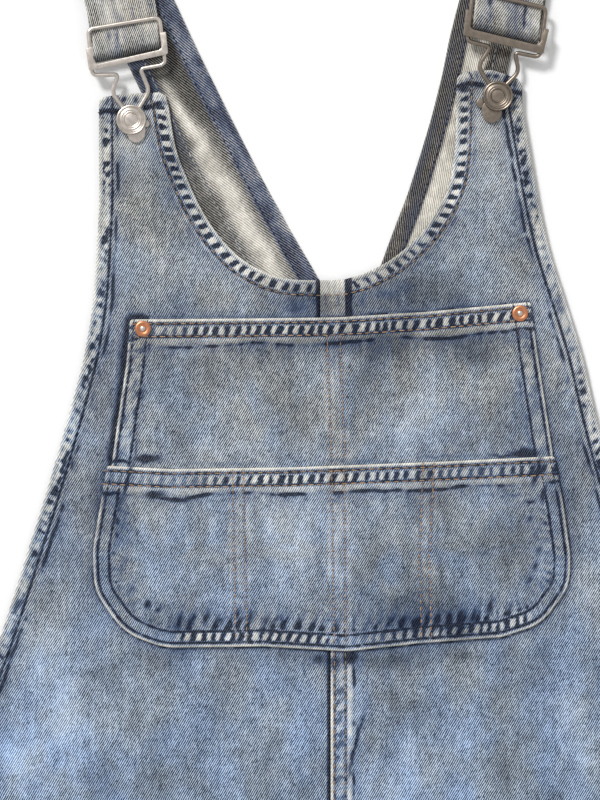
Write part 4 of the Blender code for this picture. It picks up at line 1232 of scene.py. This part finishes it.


# the same for the outer side, with painted shade where it rolls round the bar and in the stitch channels
def outerWearAndShade(c, s, edge, stitched, rollAt, mirrored, seed):
    slub = noise(c, s * 0.12, 2.6, seed + 3)
    broad = noise(c, s * 0.22, 7, seed + 4)
    worn = np.clip(0.38 + 0.7 * broad + 0.35 * slub, 0, 1) + 0.6 * (1 - smoothStep((edge - 0.6) / 1.0))
    dark = 0.75 * noise(c, s * 0.16, 3.4, seed + 7) - 0.12 + 0.35 * noise(c, s * 0.5, 2, seed + 8)
    dark = np.clip(dark, 0, 1)
    if mirrored:
        spot = np.exp(-((c - 5) / 5.5) ** 2) * smoothStep((s - 250) / 8)
        dark = dark + 0.62 * spot * (0.8 + 0.5 * slub)
        worn = worn * (1 - 0.7 * spot)
    rollEnd = np.exp(-((s - rollAt) / 3.0) ** 2)
    dark = dark + 0.28 * stitched + 0.2 * rollEnd
    dark = dark * (1 - 0.75 * np.exp(-((s - rollAt) / 5.0) ** 2))
    tone = -1.15 * rollEnd - 0.3 * np.exp(-((s - rollAt + 5) / 5.0) ** 2) - 0.12
    return worn * (1 - 0.6 * rollEnd), dark, tone


def strapMesh(name, side, mirrored, seed):
    rows, s, rollAt = strapRows(side)
    tangent = np.gradient(rows[:, :3], axis=0)
    tangent /= np.linalg.norm(tangent, axis=1)[:, None]
    tilt = np.radians(rows[:, 3])
    across = np.column_stack((np.cos(tilt), np.sin(tilt), tilt * 0))
    normal = np.cross(across, tangent)
    normal /= np.linalg.norm(normal, axis=1)[:, None]
    half = rows[:, 4] / 2
    share = np.linspace(-1, 1, strapCut["columns"])
    share = np.sign(share) * (1 - (1 - np.abs(share)) ** 1.25)  # closer together near the edges
    c = share[None, :] * half[:, None]
    along = np.repeat(s[:, None], len(share), 1)
    edge = half[:, None] - np.abs(c)
    centre = rows[:, None, :3] + across[:, None, :] * c[..., None]
    drop = 0.7 * edgeRound(edge) / cloth["edgeRound"]
    hemmed = 1 - smoothStep((edge - strapCut["hem"] + 0.6) / 1.2)
    ripple = 0.10 * noise(c, along, 9, seed) + 0.06 * noise(c, along, 3.5, seed + 1)
    stitched = np.exp(-((edge - strapCut["hem"] + 1.2) / 0.7) ** 2)
    inner = 0.32 + 0.5 * hemmed + ripple - 0.28 * stitched - drop * 0.7
    outer = 0.93 + ripple * 0.5 - 0.22 * stitched - drop
    innerFace = centre + normal[:, None, :] * np.minimum(inner, 0.95)[..., None]
    outerFace = centre - normal[:, None, :] * outer[..., None]
    m, n = c.shape
    vertices = np.concatenate((innerFace.reshape(-1, 3), outerFace.reshape(-1, 3))) * mm
    index = np.arange(m * n).reshape(m, n)
    quads = np.stack((index[:-1, :-1], index[:-1, 1:], index[1:, 1:], index[1:, :-1]), -1).reshape(-1, 4)
    rim = np.concatenate((index[0], index[1:, -1], index[-1, -2::-1], index[-2:0:-1, 0]))
    nextRim = np.roll(rim, -1)
    walls = np.column_stack((rim, rim + m * n, nextRim + m * n, nextRim))
    faces = np.concatenate((quads, quads[:, ::-1] + m * n, walls))
    mesh = bpy.data.meshes.new(name)
    mesh.from_pydata(vertices.tolist(), [], faces.tolist())
    layer = mesh.uv_layers.new(name="cut")
    corners = np.empty(len(mesh.loops), np.int32)
    mesh.loops.foreach_get("vertex_index", corners)
    cutMap = np.tile(np.column_stack((c.ravel(), along.ravel())), (2, 1)) * mm
    layer.data.foreach_set("uv", cutMap[corners].astype(np.float32).ravel())
    innerLooks = innerWearAndShade(c, along, half, edge, stitched, mirrored, seed)
    outerLooks = outerWearAndShade(c, along, edge, stitched, rollAt, mirrored, seed)
    warmth = np.full(c.shape, -0.6)
    innerLooks += (warmth if mirrored else warmth + 0.75,)
    outerLooks += (warmth,)
    limits = {"worn": (0, 1.3), "dark": (0, 1.3), "tone": (-2, 1), "cool": (-1, 1)}
    for (key, (least, most)), a, b in zip(limits.items(), innerLooks, outerLooks):
        addField(mesh, key, np.clip(np.concatenate((a.ravel(), b.ravel())), least, most))
    mesh.shade_smooth()
    mesh.materials.append(strapOuter)
    mesh.materials.append(strapInner)
    kinds = np.zeros(len(faces), np.int32)
    kinds[:len(quads)] = 1
    mesh.polygons.foreach_set("material_index", kinds)
    print(f"  {name}: {2 * len(faces)} triangles, {s[-1]:.0f} mm long")
    return newPiece(name, mesh), rows, s


strapPieces = {}
for name, mirrored, seed in (("left", False, 401), ("right", True, 431)):
    piece, rows, s = strapMesh("strap_" + name + "_cloth", buckles[name], mirrored, seed)
    declare(piece, "strap_" + name)
    strapPieces[name] = (piece, s[-1])
    backRows = rows[(s > 3) & (s < 228)]
    lines = []
    for sign in (-1, 1):
        reach = sign * (backRows[:, 4] / 2 - strapCut["hem"] + 1.2)
        tilt = np.radians(backRows[:, 3])
        line = backRows[:, :2] + np.column_stack((np.cos(tilt), np.sin(tilt))) * reach[:, None]
        lines.append((line, "dark" if sign * (-1 if mirrored else 1) > 0 else "pale", 4.2))
    stitches("strap_" + name + "_stitches", lines,
                                      lambda points: np.full(len(points), 1.62), 51)
print("straps ready")

# back panels
backTopX = 8.9


def backShape(side):
    edge = np.array(smoothEdge(backEdge, 1 if side == "left" else 2, 6))
    top = np.array([edge[-1], (backTopX, edge[-1][1])])
    middle = np.array([(backTopX, 236.0), (seam["x"], levels["hemY"])])
    hemLine = hemCurve(-levels["hemHalf"], levels["hemHalf"], 4)
    sideLine = leftSide if side == "left" else rightSide

    def shape(points, d):
        x, y = points.T
        parts = [(edge, armHem, 501, 1), (top, neckHem, 511, 1), (hemLine, skirtHem, 521, 1),
                 (sideLine, sideSeam, 531, 1), (middle, fellSeam, 541, 1)]
        height, worn, dark = combine(parts, points)
        relief = np.clip(0.16 - 0.2 * height + 0.06 * noise(x, y, 20, 551), 0.03, 0.5)
        rounding = edgeRound(d) * 0.6
        upper = 1.12 + 0.04 * noise(x, y, 20, 552) - rounding
        return upper, relief + rounding * 0.5, {"worn": worn, "dark": dark}

    return shape, edge


def backSpacing(points, d):
    hemmed = (d < 14) | (points[:, 1] < levels["hemY"] + cloth["hemReach"])
    return np.where(hemmed, cloth["middle"], cloth["coarse"])


backs = {}
for side, sign in (("left", -1), ("right", 1)):
    shape, edge = backShape(side)
    outline = loop(hemCurve(seam["x"] + sign * 0.15, sign * levels["hemHalf"], 2.4),
                   [(sign * 228, -44)], edge[1:], [(backTopX + sign * 0.15, edge[-1][1])])
    outline = dedupe(spaced(outline, 2.4, True), 0.8)
    piece, area = clothMesh("back_" + side + "_cloth", outline, backSpacing, shape, [denim, denimInside],
                            False)
    declare(piece, "back_" + side)
    backs[side] = (piece, area)
print("backs ready")

# metal
# the darker nickel is the same nickel painted in shade, for the hardware on the right
metalLook = {"nickel": (0.66, 0.60, 0.545), "dark_nickel": (0.27, 0.225, 0.185),
             "copper": (0.66, 0.27, 0.14)}


def metalMaterial(name, colour, roughness):
    g = Graph(name)
    place = g.nodes.new("ShaderNodeTexCoord").outputs["Object"]
    cloud = g.noise(place, 1 / (2.4 * mm), 3, 0.6)
    scuff = g.noise(g.mapping(place, rotation=(0, 0, 0.6), scale=(1 / (0.5 * mm), 1 / (6 * mm), 1 / mm)),
                    1.0, 2)
    shade = g.maths("MULTIPLY_ADD", cloud, 0.5, g.maths("MULTIPLY_ADD", scuff, 0.25, 0.62))
    tone = g.multiply((*colour, 1), g.grey(shade))
    rough = g.maths("MULTIPLY_ADD", cloud, 0.3, roughness - 0.15)
    g.feed(g.shader, {"Base Color": tone, "Metallic": 1.0, "Roughness": rough})
    g.bump(scuff, 0.12, 0.05 * mm)
    return g.material


nickel = metalMaterial("nickel", metalLook["nickel"], 0.34)
shadedNickel = metalMaterial("shadedNickel", metalLook["dark_nickel"], 0.36)
copper = metalMaterial("copper", metalLook["copper"], 0.36)


def deselect():
    bpy.ops.object.select_all(action="DESELECT")


def finished(thing, name, material, angle=35):
    thing.name, thing.data.name = name, name
    thing.data.materials.append(material)
    deselect()
    thing.select_set(True)
    bpy.context.view_layer.objects.active = thing
    bpy.ops.object.mode_set(mode="EDIT")
    bpy.ops.mesh.select_all(action="SELECT")
    bpy.ops.mesh.normals_make_consistent(inside=False)
    bpy.ops.object.mode_set(mode="OBJECT")
    bpy.ops.object.shade_smooth_by_angle(angle=math.radians(angle))
    return thing


# a closed wire through corners (x, y, z, radius)
def bentWire(name, corners, radius, material):
    route = rounded(corners, 8)
    deselect()
    bpy.ops.mesh.primitive_circle_add(calc_uvs=False, vertices=len(route), radius=0.01)
    thing = bpy.context.object
    for vertex, place in zip(thing.data.vertices, route):
        vertex.co = Vector(place) * mm
    bpy.ops.object.convert(target="CURVE")
    thing = bpy.context.object
    thing.data.bevel_depth = radius * mm
    thing.data.bevel_resolution = 4
    bpy.ops.object.convert(target="MESH")
    return finished(bpy.context.object, name, material, 60)


# a plate with an outline in plan and rounded edges
def stamped(name, outline, low, high, bevel, material):
    deselect()
    bpy.ops.mesh.primitive_circle_add(calc_uvs=False, vertices=len(outline), radius=0.01, fill_type="NGON")
    thing = bpy.context.object
    for vertex, place in zip(thing.data.vertices, outline):
        vertex.co = (place[0] * mm, place[1] * mm, low * mm)
    bpy.ops.object.mode_set(mode="EDIT")
    bpy.ops.mesh.select_all(action="SELECT")
    bpy.ops.mesh.extrude_region_move(TRANSFORM_OT_translate={"value": (0, 0, (high - low) * mm)})
    bpy.ops.object.mode_set(mode="OBJECT")
    edges = thing.modifiers.new("edges", "BEVEL")
    edges.width = bevel * mm
    edges.segments = 3
    edges.limit_method = "ANGLE"
    edges.angle_limit = math.radians(40)
    bpy.ops.object.modifier_apply(modifier="edges")
    return finished(thing, name, material)


# a round piece built up ring by ring from (radius, height)
def lathed(name, profile, centre, material, sides=64):
    radius, level = profile[0]
    deselect()
    bpy.ops.mesh.primitive_circle_add(calc_uvs=False, vertices=sides, radius=radius * mm, fill_type="NGON")
    thing = bpy.context.object
    bpy.ops.object.mode_set(mode="EDIT")
    bpy.ops.mesh.select_all(action="SELECT")
    bpy.ops.transform.translate(value=(0, 0, level * mm))
    for nextRadius, nextLevel in profile[1:]:
        bpy.ops.mesh.extrude_region_move(TRANSFORM_OT_translate={"value": (0, 0, (nextLevel - level) * mm)})
        share = nextRadius / radius
        bpy.ops.transform.resize(value=(share, share, 1), center_override=(0, 0, nextLevel * mm))
        radius, level = nextRadius, nextLevel
    bpy.ops.mesh.select_all(action="SELECT")
    bpy.ops.transform.translate(value=(centre[0] * mm, centre[1] * mm, 0))
    bpy.ops.object.mode_set(mode="OBJECT")
    return finished(thing, name, material)


def oval(centre, rx, ry, count=48):
    turns = [2 * math.pi * k / count for k in range(count)]
    return [(centre[0] + rx * math.cos(a), centre[1] + ry * math.sin(a)) for a in turns]


# levels are low, high and edge radius; profiles are (radius, height) over the cloth or the cap's underside
hardware = {"wire": 1.2, "tongue": (5.6, 6.8, 0.4), "lobe": (5.65, 6.75, 0.35),
            "plate": (9.55, 10.45, 0.36), "flange": (4.6, 10.0, 0.15), "bar": 1.1, "barLevel": 5.75,
            "panel": 1.2}
buttonCut = {"capLevel": 7.6,
             "tack": ((0.5, -2.4), (4.2, -2.3), (4.5, -1.8), (4.3, -1.5), (1.0, -1.5), (1.0, 0.3),
                      (1.9, 0.3)),
             "cap": ((1.9, 0), (7.0, 0), (7.9, 0.15), (8.22, 0.5), (8.3, 1.1), (8.22, 1.7), (7.98, 2.08),
                     (7.65, 2.18), (7.35, 2.05), (7.2, 1.7), (7.05, 1.35), (6.8, 1.35), (6.6, 1.55),
                     (6.35, 1.62), (6.1, 1.5), (5.9, 1.62), (5.4, 1.66), (4.9, 1.62), (4.7, 1.5),
                     (4.45, 1.6), (4.25, 1.58), (4.1, 1.3), (3.8, 1.22), (3.6, 1.4), (3.4, 1.68),
                     (3.1, 1.74), (0.3, 1.76))}
rivetCut = {
    "rise": 1.5,
    "tack": ((0.5, -2.3), (3.5, -2.2), (3.8, -1.8), (3.5, -1.5), (1.0, -1.5)),
    "head": ((1.0, 0.3), (4.2, 0.3), (4.4, 0.55), (4.35, 0.85), (4.0, 1.15), (3.5, 1.3), (2.9, 1.28),
             (2.3, 1.05), (1.75, 0.95), (1.6, 1.05), (1.55, 1.6), (1.35, 1.95), (0.95, 2.15), (0.3, 2.22)),
    "pin": (1.62, 0.9)}


def panelTop(x, y):
    return float(frontLift(np.array([x]), np.array([y]))[0]) + hardware["panel"]


def raised(profile, level):
    return [(radius, level + height) for radius, height in profile]


# a bent wire with a keyhole loop, and the flat tongue and lobe that show below the button
def makeHook(name, side, metal):
    node = "hook_" + name
    declare(bentWire(node + "_wire", side["wire"], hardware["wire"], metal), node)
    x, y, rx, ry = side["tongue"]
    declare(stamped(node + "_tongue", oval((x, y), rx, ry), *hardware["tongue"], metal), node)
    x, y, r = side["lobe"]
    declare(stamped(node + "_lobe", oval((x, y), r, r, 24), *hardware["lobe"], metal), node)


# a plate with two turned-down flanges, and the bar that the strap rolls round
def makeSlider(name, side, metal):
    node = "slider_" + name
    declare(stamped(node + "_plate", rounded(side["plate"], 5), *hardware["plate"], metal), node)
    corners = [Vector(side["plate"][i][:2]) for i in range(4)]
    tilt = math.radians(side["bar"][2])
    across = Vector((math.cos(tilt), math.sin(tilt)))
    for tag, high, low, inward in (("a", corners[0], corners[1], 1), ("b", corners[3], corners[2], -1)):
        first, last = high.lerp(low, 0.03), high.lerp(low, 0.85)
        near, far = across * 0.05 * inward, across * 0.75 * inward
        outline = [first + near, last + near, last + far, first + far]
        if inward < 0:
            outline.reverse()
        declare(stamped(node + "_flange_" + tag, outline, *hardware["flange"], metal), node)
    halfBar = ((corners[3] + corners[2]) - (corners[0] + corners[1])).length / 4 - 0.35
    middle = Vector(side["bar"][:2])
    middle += across * ((sum(corners, Vector((0, 0))) / 4 - middle).dot(across))
    deselect()
    bpy.ops.mesh.primitive_cylinder_add(vertices=24, radius=hardware["bar"] * mm, depth=2 * halfBar * mm,
                                        location=(middle.x * mm, middle.y * mm, hardware["barLevel"] * mm),
                                        rotation=(0, math.pi / 2, tilt))
    bpy.ops.object.transform_apply(location=True, rotation=True, scale=True)
    declare(finished(bpy.context.object, node + "_bar", metal), node)


def makeButton(name, side, metal):
    base = panelTop(*side["button"])
    profile = raised(buttonCut["tack"], base) + raised(buttonCut["cap"], buttonCut["capLevel"])
    button = lathed("button_" + name + "_cap", profile, side["button"], metal)
    declare(button, "button_" + name)


# a copper head on its tack, with a nickel pin in the middle
def makeRivet(name, side):
    x, y = side["rivet"]
    base = panelTop(x, y)
    head = base + rivetCut["rise"]
    profile = raised(rivetCut["tack"], base) + raised(rivetCut["head"], head)
    rivet = lathed("rivet_" + name + "_head", profile, (x, y), copper, 48)
    rivet.data.materials.append(nickel)
    reach, level = rivetCut["pin"]
    for face in rivet.data.polygons:
        away = math.hypot(face.center.x / mm - x, face.center.y / mm - y)
        if away < reach and face.center.z > (head + level) * mm:
            face.material_index = 1
    declare(rivet, "rivet_" + name)


for name, side in buckles.items():
    # the hardware on the right takes the nickel painted in shade
    metal, slotName = (nickel, "nickel") if name == "left" else (shadedNickel, "dark_nickel")
    makeHook(name, side, metal)
    makeSlider(name, side, metal)
    makeButton(name, side, metal)
    makeRivet(name, side)
print("metal ready")

# the flat sizes of what shows are unpacked here, and nothing more is done with them
for side in ("left", "right"):
    piece, area = backs[side]
    piece, area = fronts[side]
    piece, length = strapPieces[side]
for name in ("upper", "lower"):
    piece, area = pockets[name]
